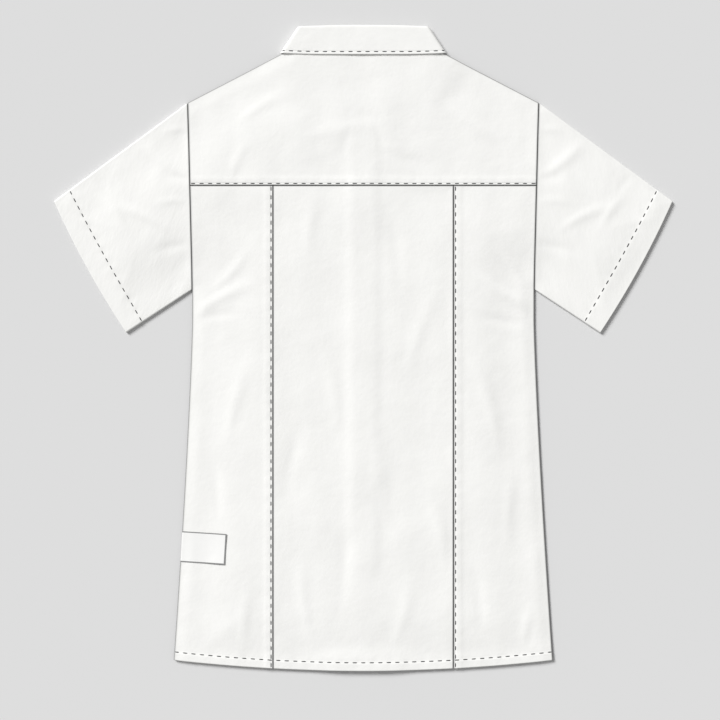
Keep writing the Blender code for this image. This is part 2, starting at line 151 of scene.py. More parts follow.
LABEL_LENGTH, LABEL_WIDTH = 0.0536, 0.0369
LABEL_HEIGHT = -0.2386    # middle of the label, along Y
LABEL_TILT = math.radians(-3.4)


class Spread(NamedTuple):
    """How far a lift reaches: its full height up to flat, then falling to 0 over fade."""

    flat: float
    fade: float


COLLAR_SPREAD = Spread(flat=COLLAR_BOW, fade=0.035)
STUD_SPREAD_ACROSS = Spread(flat=0.010, fade=0.025)
STUD_SPREAD_ALONG = Spread(flat=0.010, fade=0.045)
OVERLAP_SPREAD = Spread(flat=0.0045, fade=0.050)
NECKLINE_SPREAD = Spread(flat=0.010, fade=0.040)
HEM_SPREAD = Spread(flat=0.002, fade=0.020)


# ---- Finer forms of the cloth ----

class Furrow(NamedTuple):
    """What a row of stitches presses into the cloth."""

    depth: float
    width: float


SEAM_FURROW = Furrow(depth=0.00030, width=0.0009)
HEM_FURROW = Furrow(depth=0.00028, width=0.0010)
FRONT_HEM_FURROW = Furrow(depth=0.00018, width=0.0010)
COLLAR_FURROW = Furrow(depth=0.00020, width=0.0009)

HEM_STEP = Spread(flat=0.0, fade=0.002)   # from the double cloth of a hem to the single cloth
HEM_MARGIN = 0.001        # a hem's greater thickness ends this far past its stitches
ALLOWANCE_FADE = 0.004    # length over which the rise of a seam allowance ends
UNDERARM_BLEND = 0.008    # length over which the armhole's roll turns into the side seam's
CALM_REACH = 0.018        # distance from an edge at which creases have their full height
SEAM_SLACK = 0.006        # a seam inside the outline counts as this far away for that
STUD_STRIP, STUD_STRIP_FADE = 0.04, 0.03  # half the strip without creases along the studs, its fade
NECK_SLANT = 1.2          # divides the distance to the front neckline along Y, as a guess at the shortest
SHADE_REACH, ARMHOLE_SHADE_REACH = 0.00095, 0.00125       # reach of the painted shade beside a seam
PUCKER_HEIGHT, PUCKER_REACH = 0.00012, 0.007
HEM_ROLL_ROW = 0.0004     # rows of points are close together here too, for the roll of a hem's edge
COLLAR_PLY = 0.0010       # thickness of the collar's cloth
RIBBON_PLY = 0.00035      # thickness of the label's ribbon
NEAR = 0.0006             # points that have to lie on cloth stay this far inside its edge


class Crease(NamedTuple):
    """A soft ridge, or a trough where its height is negative. x and y are its middle."""

    x: float
    y: float
    angle: float
    length: float
    width: float
    height: float
    bow: float


MM = 0.001


def crease_table(*rows):
    """Creases from rows of x, y, angle, length, width, height and bow, in millimetres and degrees."""
    return [
        Crease(x * MM, y * MM, angle, length * MM, width * MM, height * MM, bow * MM)
        for x, y, angle, length, width, height, bow in rows
    ]


BACK_CREASES = crease_table(
    # x, y, angle, length, width, height, bow
    (-168, 60, 28, 95, 5.0, 0.55, 6),
    (-176, 38, 12, 70, 4.0, -0.35, 4),
    (-160, 92, 47, 80, 4.5, 0.40, -5),
    (172, 66, -31, 105, 5.5, 0.60, -7),
    (166, 34, -10, 75, 4.5, -0.35, -3),
    (178, 98, -52, 65, 4.0, 0.38, 5),
    (-236, 236, -44, 74, 5.0, 0.50, 4),
    (-262, 150, -20, 92, 6.0, -0.38, -6),
    (-228, 112, 18, 60, 4.5, 0.45, 4),
    (242, 228, 40, 82, 5.5, 0.48, -5),
    (268, 158, 24, 84, 5.0, 0.42, 6),
    (232, 120, -14, 64, 5.0, -0.34, 3),
    (-62, 150, 84, 96, 6.5, 0.34, 4),
    (38, 118, 97, 120, 7.0, -0.32, -5),
    (70, 20, 72, 130, 7.5, 0.40, 8),
    (-40, -40, 101, 140, 8.0, 0.36, -7),
    (-84, -132, 78, 110, 6.5, -0.34, 5),
    (24, -150, 92, 150, 8.0, 0.42, 6),
    (88, -212, 104, 120, 7.0, 0.38, -6),
    (-20, -262, 82, 130, 7.5, -0.34, 4),
    (-70, -300, 96, 110, 6.0, 0.38, 5),
    (48, -318, 76, 96, 6.5, 0.36, -4),
    (-150, -60, 74, 120, 6.5, 0.42, 6),
    (-178, -170, 96, 90, 5.5, -0.32, -4),
    (-142, -322, 84, 92, 6.0, 0.36, 3),
    (150, -70, 105, 130, 7.0, 0.44, -6),
    (176, -190, 86, 110, 6.0, 0.38, 4),
    (138, -300, 97, 98, 6.0, -0.32, -3),
    (196, -336, 80, 60, 4.5, 0.36, 2),
    (-118, 292, 30, 84, 5.5, 0.34, 5),
    (132, 270, -34, 90, 6.0, 0.36, -5),
    (-20, 262, 8, 120, 7.5, 0.30, 6),
    (58, 226, -12, 90, 6.0, -0.28, -4),
    (-150, 226, 66, 60, 5.0, 0.32, 3),
    (226, 262, -8, 34, 3.4, 0.30, 2),
    (224, 206, 6, 40, 3.8, -0.26, -2),
    (229, 176, -4, 46, 3.6, 0.28, 2),
    (300, 166, 52, 62, 4.8, 0.34, 4),
    (318, 206, 60, 48, 4.4, -0.28, -3),
    (-225, 250, 10, 36, 3.6, 0.30, -2),
    (-228, 194, -5, 44, 3.8, 0.30, 2),
    (-222, 160, 8, 36, 3.4, -0.26, 2),
    (-304, 188, -56, 66, 4.8, 0.36, -4),
    (-316, 150, -50, 50, 4.4, -0.28, 3),
)
FRONT_CREASES = crease_table(
    # x, y, angle, length, width, height, bow
    (-160, 74, 34, 90, 6.0, 0.45, 5),
    (164, 58, -28, 100, 6.5, 0.42, -6),
    (-92, 190, 60, 110, 7.0, 0.36, 5),
    (104, 176, -66, 96, 6.5, 0.38, 4),
    (-110, -60, 82, 150, 8.0, 0.42, -7),
    (86, -30, 98, 130, 7.5, 0.36, 6),
    (140, -190, 85, 120, 7.0, 0.40, -5),
    (-150, -230, 95, 100, 6.0, 0.36, 4),
    (-72, -310, 78, 90, 6.5, 0.40, 3),
    (78, -322, 102, 84, 6.0, 0.34, -3),
    (-248, 190, -36, 90, 6.0, 0.42, 4),
    (252, 176, 38, 84, 6.0, 0.40, -4),
)


# ---- Settings ----

def colour_property(name, description, default):
    return FloatVectorProperty(
        name=name, description=description, subtype="COLOR", size=3, min=0.0, max=1.0, default=default
    )


def length_property(name, description, default):
    return FloatProperty(
        name=name, description=description, unit="LENGTH", precision=5, min=0.0, default=default
    )


class ClothSettings(bpy.types.PropertyGroup):
    twill: colour_property("Twill", "Colour of the cloth", (0.875, 0.872, 0.852))
    # painted shade: this dark grey is mixed into the cloth's colour deep in each seam and stands in for the
    # seam's shadow
    painted_crevice_colour: colour_property("Seam shade", "Colour of the cloth deep in a seam", (0.11, 0.11, 0.11))
    ply: length_property("Cloth", "Thickness of one layer of cloth", 0.0007)
    hem_ply: length_property("Hem", "Thickness of a turned hem", 0.0012)
    twill_pitch: length_property("Twill lines", "Distance between the diagonal lines of the weave", 0.0008)
    seam_depth: length_property("Seam depth", "How far a seam lies below the cloth beside it", 0.0008)
    seam_width: length_property("Seam width", "Width of the rounded cloth on each side of a seam", 0.0017)
    outline_roll: length_property(
        "Outline roll", "How far front and back roll to each other at their seam", 0.00062
    )
    rim: length_property("Rim", "Radius of the rounded edge of the cloth", 0.00026)
    allowance: length_property("Seam allowance", "Width of the cloth folded under beside a seam", 0.0100)
    allowance_rise: length_property("Allowance rise", "How much a seam allowance lifts the cloth", 0.00035)
    crease: FloatProperty(name="Creases", description="Strength of the creases", min=0, max=3, default=2.0)


class ThreadSettings(bpy.types.PropertyGroup):
    colour: colour_property("Thread", "Colour of the topstitching", (0.016, 0.016, 0.018))
    stitch: length_property("Stitch", "Length of one stitch", 0.0060)
    pitch: length_property("Pitch", "Distance from one stitch to the next", 0.01022)
    width: length_property("Width", "Width of the thread", 0.00130)
    height: length_property("Height", "Height of a stitch above the cloth", 0.00050)
    pressed: length_property("Pressed in", "How much deeper a stitch lies on the underside", 0.00030)
    from_seam: length_property("From seam", "Distance of the topstitch from its seam", 0.0023)
    from_collar_edge: length_property("From collar edge", "Distance from the collar's edge", 0.0036)


class TrimSettings(bpy.types.PropertyGroup):
    ribbon: colour_property("Label", "Colour of the label", (0.872, 0.870, 0.856))
    selvedge: colour_property("Label edge", "Colour of the label's woven edge", (0.24, 0.24, 0.24))
    selvedge_width: length_property("Label edge width", "Width of the woven edge", 0.0014)
    stud: colour_property("Press studs", "Colour of the press studs", (0.84, 0.84, 0.83))


class StageSettings(bpy.types.PropertyGroup):
    floor: colour_property("Floor", "Colour of the floor", (0.685, 0.685, 0.685))
    key: FloatProperty(name="Key light", description="Strength of the key light", min=0, default=3.75)
    key_size: FloatProperty(
        name="Key size", description="Angle that the key light covers", subtype="ANGLE",
        default=math.radians(24),
    )
    key_height: FloatProperty(
        name="Key height", description="Angle of the key light above the floor", subtype="ANGLE",
        default=math.radians(36),
    )
    fill: FloatProperty(name="Fill light", description="Strength of the light all round", min=0, default=0.37)
    lens: FloatProperty(name="Lens", description="Focal length", unit="CAMERA", min=1, default=100)


# ---- Shaping functions, over arrays of points ----

def mix(start, end, share):
    return start + (end - start) * share


def smooth(share):
    """0 below 0, 1 above 1, and an S-curve between."""
    share = np.clip(share, 0.0, 1.0)
    return share * share * (3 - 2 * share)


def fading(distance, spread):
    """1 up to the spread's flat distance, then falling to 0."""
    return 1 - smooth((distance - spread.flat) / spread.fade)


def roll(distance, depth, width):
    """How far the cloth has rolled down at a distance from its edge."""
    near = np.clip(1 - distance / width, 0.0, 1.0)
    return depth * (1 - np.sqrt(1 - near ** 2))


def bell(distance, width):
    """1 at distance 0, falling to both sides and nearly 0 at twice the width."""
    return np.exp(-((distance / width) ** 2))


def dent(distance, furrow):
    return furrow.depth * bell(distance, furrow.width)


def to_leg(x, y, start, end):
    """Distance from points to a straight leg."""
    leg = end - start
    share = np.clip(((x - start.x) * leg.x + (y - start.y) * leg.y) / leg.length_squared, 0.0, 1.0)
    return np.hypot(x - start.x - leg.x * share, y - start.y - leg.y * share)


def to_path(x, y, path):
    """Distance from points to the nearest leg of a path."""
    return np.minimum.reduce([to_leg(x, y, start, end) for start, end in zip(path, path[1:])])


def spaced(length, features, finest, coarsest):
    """Places from 0 to length, close together at the features and further apart away from them."""
    place, places = 0.0, [0.0]
    while place < length:
        away = min(abs(place - feature) for feature in features)
        place += min(max(finest, 0.3 * away), coarsest)
        places.append(place)
    return np.array(places) * length / places[-1]


# ---- Outline ----

def half_width(y):
    """Centre line to side seam, or to armhole seam above the underarm."""
    rise = np.clip((y - ARMPIT.y) / (SHOULDER.y - ARMPIT.y), 0.0, 1.0)
    fall = np.clip((FLARE_START - y) / (FLARE_START - HEM_CORNER.y), 0.0, None)
    armhole = mix(ARMPIT.x, SHOULDER.x, rise ** ARMHOLE_POWER)
    return armhole + (HEM_CORNER.x - ARMPIT.x) * fall ** FLARE_POWER


def hem(x):
    return HEM_LOW + (HEM_CORNER.y - HEM_LOW) * (x / HEM_CORNER.x) ** 2


def shoulder_line(x):
    return SHOULDER.y + SHOULDER_SLOPE * (SHOULDER.x - np.abs(x))


def neck_curve(angle):
    """Shares of the front neckline's half width and drop, at angles in degrees from centre front."""
    power = 2 / NECK_ROUNDNESS
    sine = np.clip(np.sin(np.radians(angle)), 0.0, 1.0)
    cosine = np.clip(np.cos(np.radians(angle)), 0.0, 1.0)
    return sine ** power, cosine ** power


def front_top(x):
    inside = np.clip(1 - (np.abs(x) / NECK_HALF) ** NECK_ROUNDNESS, 0.0, 1.0)
    neckline = NECK_SIDE.y - FRONT_NECK_DROP * inside ** (1 / NECK_ROUNDNESS)
    return np.where(np.abs(x) > NECK_HALF, shoulder_line(x), neckline)


def back_top(x):
    return np.minimum(NECK_SIDE.y, shoulder_line(x))


def sleeve_plan(along, across):
    """x and y on the right sleeve, along it from armhole to cuff and across from underarm to overarm."""
    seam_y = mix(ARMPIT.y, SHOULDER.y, across)
    cuff = [mix(CUFF_BOTTOM[k], CUFF_TOP[k], across) for k in (0, 1)]
    outward = Vector((CUFF_TOP.y - CUFF_BOTTOM.y, CUFF_BOTTOM.x - CUFF_TOP.x)).normalized()
    bulge = CUFF_BULGE * 4 * across * (1 - across)
    x = mix(half_width(seam_y), cuff[0] + outward.x * bulge, along)
    y = mix(seam_y, cuff[1] + outward.y * bulge, along)
    return x, y


def sleeve_hem(across):
    """Depth of the sleeve's hem, whose stitches run straighter than the cuff."""
    return SLEEVE_HEM + SLEEVE_HEM_BOW * 4 * across * (1 - across)


SIDE_SEAM = [Vector((float(half_width(y)), y)) for y in np.linspace(HEM_CORNER.y, ARMPIT.y, 7)]
SHOULDER_SEAM = [NECK_SIDE, SHOULDER]
OVERARM_FOLD, UNDERARM_FOLD = [SHOULDER, CUFF_TOP], [ARMPIT, CUFF_BOTTOM]
OPEN_EDGES = [
    [Vector((0, HEM_LOW)), HEM_CORNER],
    [CUFF_TOP, CUFF_BOTTOM],
    [Vector((0, NECK_SIDE.y)), NECK_SIDE],
]
COLLAR_PLAN = [
    Vector((0, TOP - FRONT_FOLD_DROP)),
    COLLAR_POINT,
    Vector((COLLAR_EDGE_HALF, COLLAR_EDGE)),
    Vector((0, TOP)),
]


# ---- Layers ----

def over_collar(x, y):
    """1 where the turned-down collar lies under the fronts, fading to 0 outside it."""
    inside = np.ones(np.shape(x), bool)
    for start, end in zip(COLLAR_PLAN, COLLAR_PLAN[1:]):
        inside &= (end.x - start.x) * (y - start.y) - (end.y - start.y) * (np.abs(x) - start.x) >= 0
    away = np.where(inside, 0.0, to_path(np.abs(x), y, COLLAR_PLAN))
    return fading(away, COLLAR_SPREAD)


def over_studs(x, y):
    """1 along the row of press studs, fading to 0 on both sides and past its ends."""
    middle, half = (STUD_ROW[0] + STUD_ROW[-1]) / 2, (STUD_ROW[-1] - STUD_ROW[0]) / 2
    past_end = np.abs(y - middle) - half
    return fading(np.abs(x), STUD_SPREAD_ACROSS) * fading(past_end, STUD_SPREAD_ALONG)


def over_hem(x, y):
    """What a turned hem lifts the layer over it by."""
    return HEM_EXTRA * fading(y - hem(x) - BODY_HEM, HEM_SPREAD)


def overlap_lift(x, y):
    """How much higher the inner front and the back lie over the overlapping front edges."""
    beside = fading(np.abs(x) - FRONT_OVERLAP / 2, OVERLAP_SPREAD)
    above = fading(y - (NECK_SIDE.y - FRONT_NECK_DROP), NECKLINE_SPREAD)
    return (WALL + SEAM_GAP + over_hem(x, y)) * beside * above


def front_lift(x, y):
    """Floor side of the outer front."""
    return np.maximum(COLLAR_LIFT * over_collar(x, y), STUD_LIFT * over_studs(x, y))


def inner_front_lift(x, y):
    """Floor side of the inner front."""
    return front_lift(x, y) + overlap_lift(np.minimum(x, 0.0), y)


def back_height(x, y):
    """Upper side of the yoke, the back panels and the sleeves, before seams and creases."""
    side = np.abs(x)
    sewn = np.minimum(to_path(side, y, SIDE_SEAM), to_path(side, y, SHOULDER_SEAM))
    folded = np.minimum(to_path(side, y, OVERARM_FOLD), to_path(side, y, UNDERARM_FOLD))
    open_edge = np.minimum.reduce([to_path(side, y, path) for path in OPEN_EDGES])
    edge = np.minimum(np.minimum(sewn, folded), open_edge + OPEN_EDGE_SLACK)
    gap = mix(SEAM_GAP, REST_GAP, smooth(sewn / SEAM_REACH))
    resting = front_lift(x, y) + overlap_lift(x, y) + over_hem(x, y) + gap
    airy = AIR * smooth(edge / AIR_REACH)
    return 2 * WALL + (resting + airy + np.hypot(resting - airy, AIR_BLEND)) / 2


def creased(x, y, creases):
    """Height of the creases. Each tapers to its ends and is a little wider at one of them."""
    total = np.zeros(np.shape(x))
    for crease in creases:
        turn = math.radians(crease.angle)
        right, up = x - crease.x, y - crease.y
        along = (right * math.cos(turn) + up * math.sin(turn)) / (crease.length / 2)
        across = -right * math.sin(turn) + up * math.cos(turn) + crease.bow * (along ** 2 - 0.4)
        taper = np.clip(1 - along ** 2, 0.0, 1.0) ** 1.5
        total += crease.height * taper * bell(across, crease.width * (1.15 + 0.35 * along))
    return total


def pressed_up(x, y, calm):
    """The front's creases, which only lift it off the floor, and fade where calm is near 0."""
    cloth = bpy.context.scene.tunic_cloth
    return cloth.crease * smooth(calm / CALM_REACH) * np.maximum(creased(x, y, FRONT_CREASES), 0.0)


def undulation(x, y):
    """The slow rise and fall of pressed cloth."""
    waves = np.sin(31 * x + 1.4 * np.sin(17 * y + 0.6)) * np.cos(23 * y - 0.8 * np.sin(19 * x))
    ripples = np.sin(67 * x + 43 * y + 1.9) * np.sin(38 * y - 52 * x + 0.4)
    return 0.00028 * waves + 0.00014 * ripples


def relief(x, y, edge):
    """Creases and undulation of the upper side, which fade towards the outline."""
    cloth = bpy.context.scene.tunic_cloth
    calm = smooth(edge / CALM_REACH)
    return cloth.crease * calm * (creased(x, y, BACK_CREASES) + undulation(x, y))


def plain_seam(distance):
    """Drop of the cloth beside a seam."""
    cloth = bpy.context.scene.tunic_cloth
    return -roll(distance, cloth.seam_depth, cloth.seam_width)


def pucker(distance, along, pitch):
    """The slight ripples that a row of stitches draws across itself."""
    return PUCKER_HEIGHT * bell(distance, PUCKER_REACH) * np.sin(2 * math.pi * along / pitch)


def stitched_seam(distance, along):
    """Height beside a seam whose allowance lies on this side and is topstitched."""
    cloth, thread = bpy.context.scene.tunic_cloth, bpy.context.scene.tunic_thread
    spread = Spread(flat=cloth.allowance - ALLOWANCE_FADE / 2, fade=ALLOWANCE_FADE)
    allowance = cloth.allowance_rise * fading(distance, spread)
    row = distance - thread.from_seam
    ripple = pucker(row, along, pitch=1.6 * thread.pitch)
    return plain_seam(distance) + allowance - dent(row, SEAM_FURROW) + ripple


def stitched_hem(distance, along):
    """Height above a turned hem, at a distance from its folded edge."""
    thread = bpy.context.scene.tunic_thread
    fold = distance - BODY_HEM
    ripple = pucker(fold, along, pitch=1.9 * thread.pitch)
    return HEM_EXTRA * fading(fold, HEM_STEP) - dent(fold, HEM_FURROW) + ripple


def hem_roll(distance):
    return roll(distance, depth=0.00035, width=0.0006)


# ---- Sheets ----

def grid_mesh(name, points, flat, shade, flip=False):
    """A mesh over a grid of points, with its cut as a UV map and the painted shade of its seams as an
    attribute.
    """
    rows, columns = points.shape[:2]
    bm = bmesh.new()
    bmesh.ops.create_grid(bm, x_segments=columns - 1, y_segments=rows - 1, size=0.5)
    if flip:
        bmesh.ops.reverse_faces(bm, faces=bm.faces)
    mesh = mesh_from(bm, name)
    mesh.vertices.foreach_set("co", points.reshape(-1))
    corners = np.empty(len(mesh.loops), np.int32)
    mesh.loops.foreach_get("vertex_index", corners)
    cut = mesh.uv_layers.new(name="cut")
    cut.uv.foreach_set("vector", flat.reshape(-1, 2)[corners].reshape(-1))
    mesh.attributes.new("painted_seam_shade", "FLOAT", "POINT").data.foreach_set("value", shade.reshape(-1))
    mesh.shade_smooth()
    mesh.update()
    return mesh


def flat_area(mesh):
    """Area of the cut, from its UV map."""
    places = np.empty(len(mesh.loops) * 2)
    mesh.uv_layers["cut"].uv.foreach_get("vector", places)
    quads = places.reshape(-1, 4, 2)
    ahead = np.roll(quads, -1, axis=1)
    doubled = (quads[..., 0] * ahead[..., 1] - quads[..., 1] * ahead[..., 0]).sum(axis=1)
    return float(np.abs(doubled).sum() / 2)


def ride_for(piece, node):
    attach(piece, BODY)
    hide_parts(node)


def mesh_from(bm, name):
    """Turns a bmesh into a mesh and frees it."""
    mesh = bpy.data.meshes.new(name)
    bm.to_mesh(mesh)
    bm.free()
    return mesh


def add_piece(name, mesh, finish_name):
    piece = bpy.data.objects.new(name, mesh)
    bpy.context.scene.collection.objects.link(piece)
    mesh.materials.append(finish(finish_name))
    return piece


def thicken(piece, thickness, radius):
    """Gives a sheet its thickness, inwards from its outer side, and rounds its edges."""
    wall = piece.modifiers.new("thickness", "SOLIDIFY")
    wall.offset = -1
    wall.thickness = thickness
    rim = piece.modifiers.new("rim", "BEVEL")
    rim.width = radius
    rim.segments = 2
    rim.limit_method = "ANGLE"
    rim.angle_limit = math.radians(50)
    return wall


def sheet(name, node, x, y, z, flat, shade, hemmed=None, flip=False, ply=None):
    """A piece of cloth whose outer side goes through the points. hemmed says which are on a hem."""
    cloth = bpy.context.scene.tunic_cloth
    mesh = grid_mesh(name, np.stack([x, y, z], axis=-1), np.stack(flat, axis=-1), shade, flip)
    area = flat_area(mesh)
    piece = add_piece(name, mesh, "twill_cloth")
    thickness = ply or cloth.ply
    wall = thicken(piece, thickness, cloth.rim)
    if hemmed is not None:
        group = piece.vertex_groups.new(name="hem")
        group.add([int(k) for k in np.flatnonzero(hemmed.reshape(-1) > 0.5)], 1.0, "REPLACE")
        wall.thickness = cloth.hem_ply
        wall.vertex_group = group.name
        wall.thickness_vertex_group = thickness / cloth.hem_ply
    ride_for(piece, node)


def level(height):
    """A straight upper or lower edge at one height."""
    return lambda x: np.full(np.shape(x), height)


def panel_plan(tops, up, left, right, low, high):
    """x and y of a panel's grid.

    tops holds the x of each column at the upper edge, and up the rows' shares of the height. left and
    right give the sides at a height, and low and high the lower and upper edge at an x.
    """
    top = high(tops)
    across = (tops - left(top)) / (right(top) - left(top))
    bottom = low(tops)
    for _ in range(4):
        bottom = low(mix(left(bottom), right(bottom), across))
    y = mix(bottom, top, up[:, np.newaxis])
    return mix(left(y), right(y), across), y


def right_side(y):
    return half_width(y) - SEAM_GAP / 2


def painted_seam_shade(*seams, armhole):
    """Painted shade: 1 in the bottom of the nearest seam, fading beside it. The arguments are distances to
    the seams.
    """
    shades = [bell(distance, SHADE_REACH) for distance in seams]
    return np.maximum.reduce([*shades, bell(armhole, ARMHOLE_SHADE_REACH)])


def side_drop(x, y):
    """Drop towards the side seam below the underarm and towards the armhole seam above it."""
    cloth = bpy.context.scene.tunic_cloth
    distance = right_side(y) - np.abs(x)
    below = smooth((ARMPIT.y + UNDERARM_BLEND / 2 - y) / UNDERARM_BLEND)
    side = roll(distance, cloth.outline_roll, cloth.seam_width)
    armhole = roll(distance, cloth.seam_depth, cloth.seam_width)
    return -mix(armhole, side, below)


def shoulder_drop(x, y):
    """Drop towards the shoulder seam."""
    cloth = bpy.context.scene.tunic_cloth
    distance = (shoulder_line(x) - y) / math.hypot(1, SHOULDER_SLOPE)
    return -roll(distance, cloth.outline_roll, cloth.seam_width)


# ---- Finishes ----

TURN = 2 * math.pi


class Nodes:
    """Adds shader nodes to a new material and links them in one call each."""

    def __init__(self, name):
        material = bpy.data.materials.new(name)
        material.use_nodes = True
        self.tree = material.node_tree
        self.shader = self.tree.nodes["Principled BSDF"]

    def add(self, kind, inputs=None, **settings):
        node = self.tree.nodes.new(kind)
        for key, value in settings.items():
            setattr(node, key, value)
        for key, value in (inputs or {}).items():
            self.feed(node.inputs[key], value)
        return node

    def feed(self, socket, value):
        if isinstance(value, bpy.types.NodeSocket):
            self.tree.links.new(value, socket)
        else:
            socket.default_value = value

    def math(self, operation, *values):
        node = self.add("ShaderNodeMath", operation=operation)
        for socket, value in zip(node.inputs, values):
            self.feed(socket, value)
        return node.outputs[0]

    def blend(self, share, first, second):
        """A mix of two colours. The second one is a plain (r, g, b)."""
        node = self.add("ShaderNodeMix", data_type="RGBA")
        for socket, value in ((0, share), (6, first), (7, (*second, 1.0))):
            self.feed(node.inputs[socket], value)
        return node.outputs[2]

    def toned(self, share, colour, factor):
        """A colour that changes to its multiple by the factor as the share grows."""
        return self.blend(share, (*colour, 1.0), [factor * part for part in colour])

    def cut(self):
        """The place on the cut of the cloth, whole and as its two measures."""
        place = self.add("ShaderNodeUVMap", uv_map="cut").outputs["UV"]
        parts = self.add("ShaderNodeSeparateXYZ", {"Vector": place})
        return place, parts.outputs["X"], parts.outputs["Y"]

    def waves(self, value, turn):
        """A sine wave that turns by so many radians in each metre of the value."""
        return self.math("SINE", self.math("MULTIPLY", value, turn))

    def noise(self, place, scale, **inputs):
        """Noise with about so many grains in a metre."""
        return self.add("ShaderNodeTexNoise", {"Vector": place, "Scale": scale, **inputs}).outputs["Fac"]

    def relief(self, *parts, **inputs):
        """A bump from the sum of its parts, each a value and its height in metres."""
        height, *others = [self.math("MULTIPLY", value, metres) for value, metres in parts]
        for other in others:
            height = self.math("ADD", height, other)
        return self.add("ShaderNodeBump", {"Height": height, "Distance": 1.0, **inputs}).outputs["Normal"]

    def surface(self, **inputs):
        """Feeds the shader's inputs, whose names have _ for spaces."""
        for key, value in inputs.items():
            self.feed(self.shader.inputs[key.replace("_", " ")], value)


def twill(made):
    """White twill: fine diagonal lines, soft slubs, and painted shade deep in the seams, where the colour is
    darkened to stand in for the seam's shadow.
    """
    cloth = bpy.context.scene.tunic_cloth
    cut, x, y = made.cut()
    slope = 0.55
    diagonal = made.math("SUBTRACT", x, made.math("MULTIPLY", y, slope))
    turn = TURN / (cloth.twill_pitch * math.hypot(1, slope))
    picks = made.math("MULTIPLY", made.waves(y, 1.7 * turn), 0.25)
    weave = made.math("ADD", made.waves(diagonal, turn), picks)
    slubs = made.noise(cut, 260.0, Detail=3.0)
    clouds = made.noise(cut, 38.0, Detail=4.0)
    # painted shade: the seam attribute mixes the cloth's colour towards the dark seam colour
    seam = made.add("ShaderNodeAttribute", attribute_name="painted_seam_shade").outputs["Fac"]
    made.surface(
        Base_Color=made.blend(seam, made.toned(clouds, cloth.twill, 0.955), cloth.painted_crevice_colour),
        Normal=made.relief((weave, 0.000030), (slubs, 0.00016), (clouds, 0.0008), Strength=0.8),
        Roughness=0.86, Specular_IOR_Level=0.28, Sheen_Weight=0.12, Sheen_Roughness=0.45,
    )


def twisted_thread(made):
    """Twisted thread: fine slanting ridges, with painted highlight and shade that make the colour lighter on
    their crests and darker between them.
    """
    thread = bpy.context.scene.tunic_thread
    _, x, y = made.cut()
    ridge_pitch = 0.0007
    twist = made.waves(made.math("ADD", x, made.math("MULTIPLY", y, 0.7)), TURN / ridge_pitch)
    # painted highlight: the thread's colour grows lighter where its ridges rise
    share = made.math("MULTIPLY_ADD", twist, 0.5, 0.5)
    made.surface(
        Base_Color=made.toned(share, thread.colour, 1.5), Normal=made.relief((twist, 0.00005)),
        Roughness=0.62, Sheen_Weight=0.2,
    )


def ribbon(made):
    """Woven label ribbon with a thin grey edge on three sides."""
    trim = bpy.context.scene.tunic_trim
    cut, x, y = made.cut()
    to_end = made.math("SUBTRACT", LABEL_LENGTH, x)
    to_side = made.math("SUBTRACT", LABEL_WIDTH / 2, made.math("ABSOLUTE", y))
    edge = made.math("LESS_THAN", made.math("MINIMUM", to_end, to_side), trim.selvedge_width)
    rib_pitch, weft_pitch = 0.0006, 0.0009
    weave = made.math("ADD", made.waves(x, TURN / rib_pitch), made.waves(y, TURN / weft_pitch))
    tone = made.toned(made.noise(cut, 90.0), trim.ribbon, 0.95)
    made.surface(
        Base_Color=made.blend(edge, tone, trim.selvedge), Normal=made.relief((weave, 0.00002)),
        Roughness=0.55, Sheen_Weight=0.15,
    )


def moulded_plastic(made):
    """White moulded plastic with a faint grain."""
    place = made.add("ShaderNodeTexCoord").outputs["Object"]
    grain = made.noise(place, 900.0, Detail=2.0)
    made.surface(
        Base_Color=made.toned(grain, bpy.context.scene.tunic_trim.stud, 0.93),
        Normal=made.relief((grain, 0.00004)), Roughness=made.math("MULTIPLY_ADD", grain, 0.15, 0.25),
    )


def pale_floor(made):
    """Matt pale floor with a barely visible mottle."""
    place = made.add("ShaderNodeTexCoord").outputs["Object"]
    mottle = made.noise(place, 2.0, Detail=5.0)
    made.surface(
        Base_Color=made.toned(mottle, bpy.context.scene.tunic_stage.floor, 0.985),
        Roughness=0.9, Specular_IOR_Level=0.1,
    )


FINISHES = {
    "twill_cloth": twill,
    "topstitch_thread": twisted_thread,
    "label_ribbon": ribbon,
    "stud_plastic": moulded_plastic,
    "pale_floor": pale_floor,
}


def finish(name):
    """The finish of that name, which is made when it is first asked for."""
    if name not in bpy.data.materials:
        FINISHES[name](Nodes(name))
    return bpy.data.materials[name]


# ---- Body pieces ----

def body_rows(length, coarsest):
    """Shares of a panel's height, close together at its hem and its top."""
    features = (0.0, HEM_ROLL_ROW, BODY_HEM, length)
    return spaced(length, features, finest=0.0006, coarsest=coarsest) / length


def make_yoke():
    thread = bpy.context.scene.tunic_thread
    half, height = SHOULDER.x - SEAM_GAP / 2, NECK_SIDE.y - YOKE_SEAM
    beside_neck = (0.0, half - NECK_HALF, half + NECK_HALF, 2 * half)
    columns = spaced(2 * half, beside_neck, finest=0.0005, coarsest=0.0034)
    rows = spaced(height, (0.0, thread.from_seam, height), finest=0.0005, coarsest=0.0034)
    x, y = panel_plan(
        columns - half, rows / height, lambda y: -right_side(y), right_side, level(YOKE_LOW), back_top
    )
    above, side = y - YOKE_SEAM - SEAM_GAP / 2, half_width(y) - np.abs(x)
    shoulder = to_path(np.abs(x), y, SHOULDER_SEAM)
    z = back_height(x, y) + relief(x, y, np.minimum.reduce([side, shoulder, above + SEAM_SLACK]))
    z += stitched_seam(above, x) + side_drop(x, y) + shoulder_drop(x, y)
    sheet(
        "back_yoke_cloth", "back_yoke", x, y, z, (x, y), painted_seam_shade(above, shoulder, armhole=side),
    )


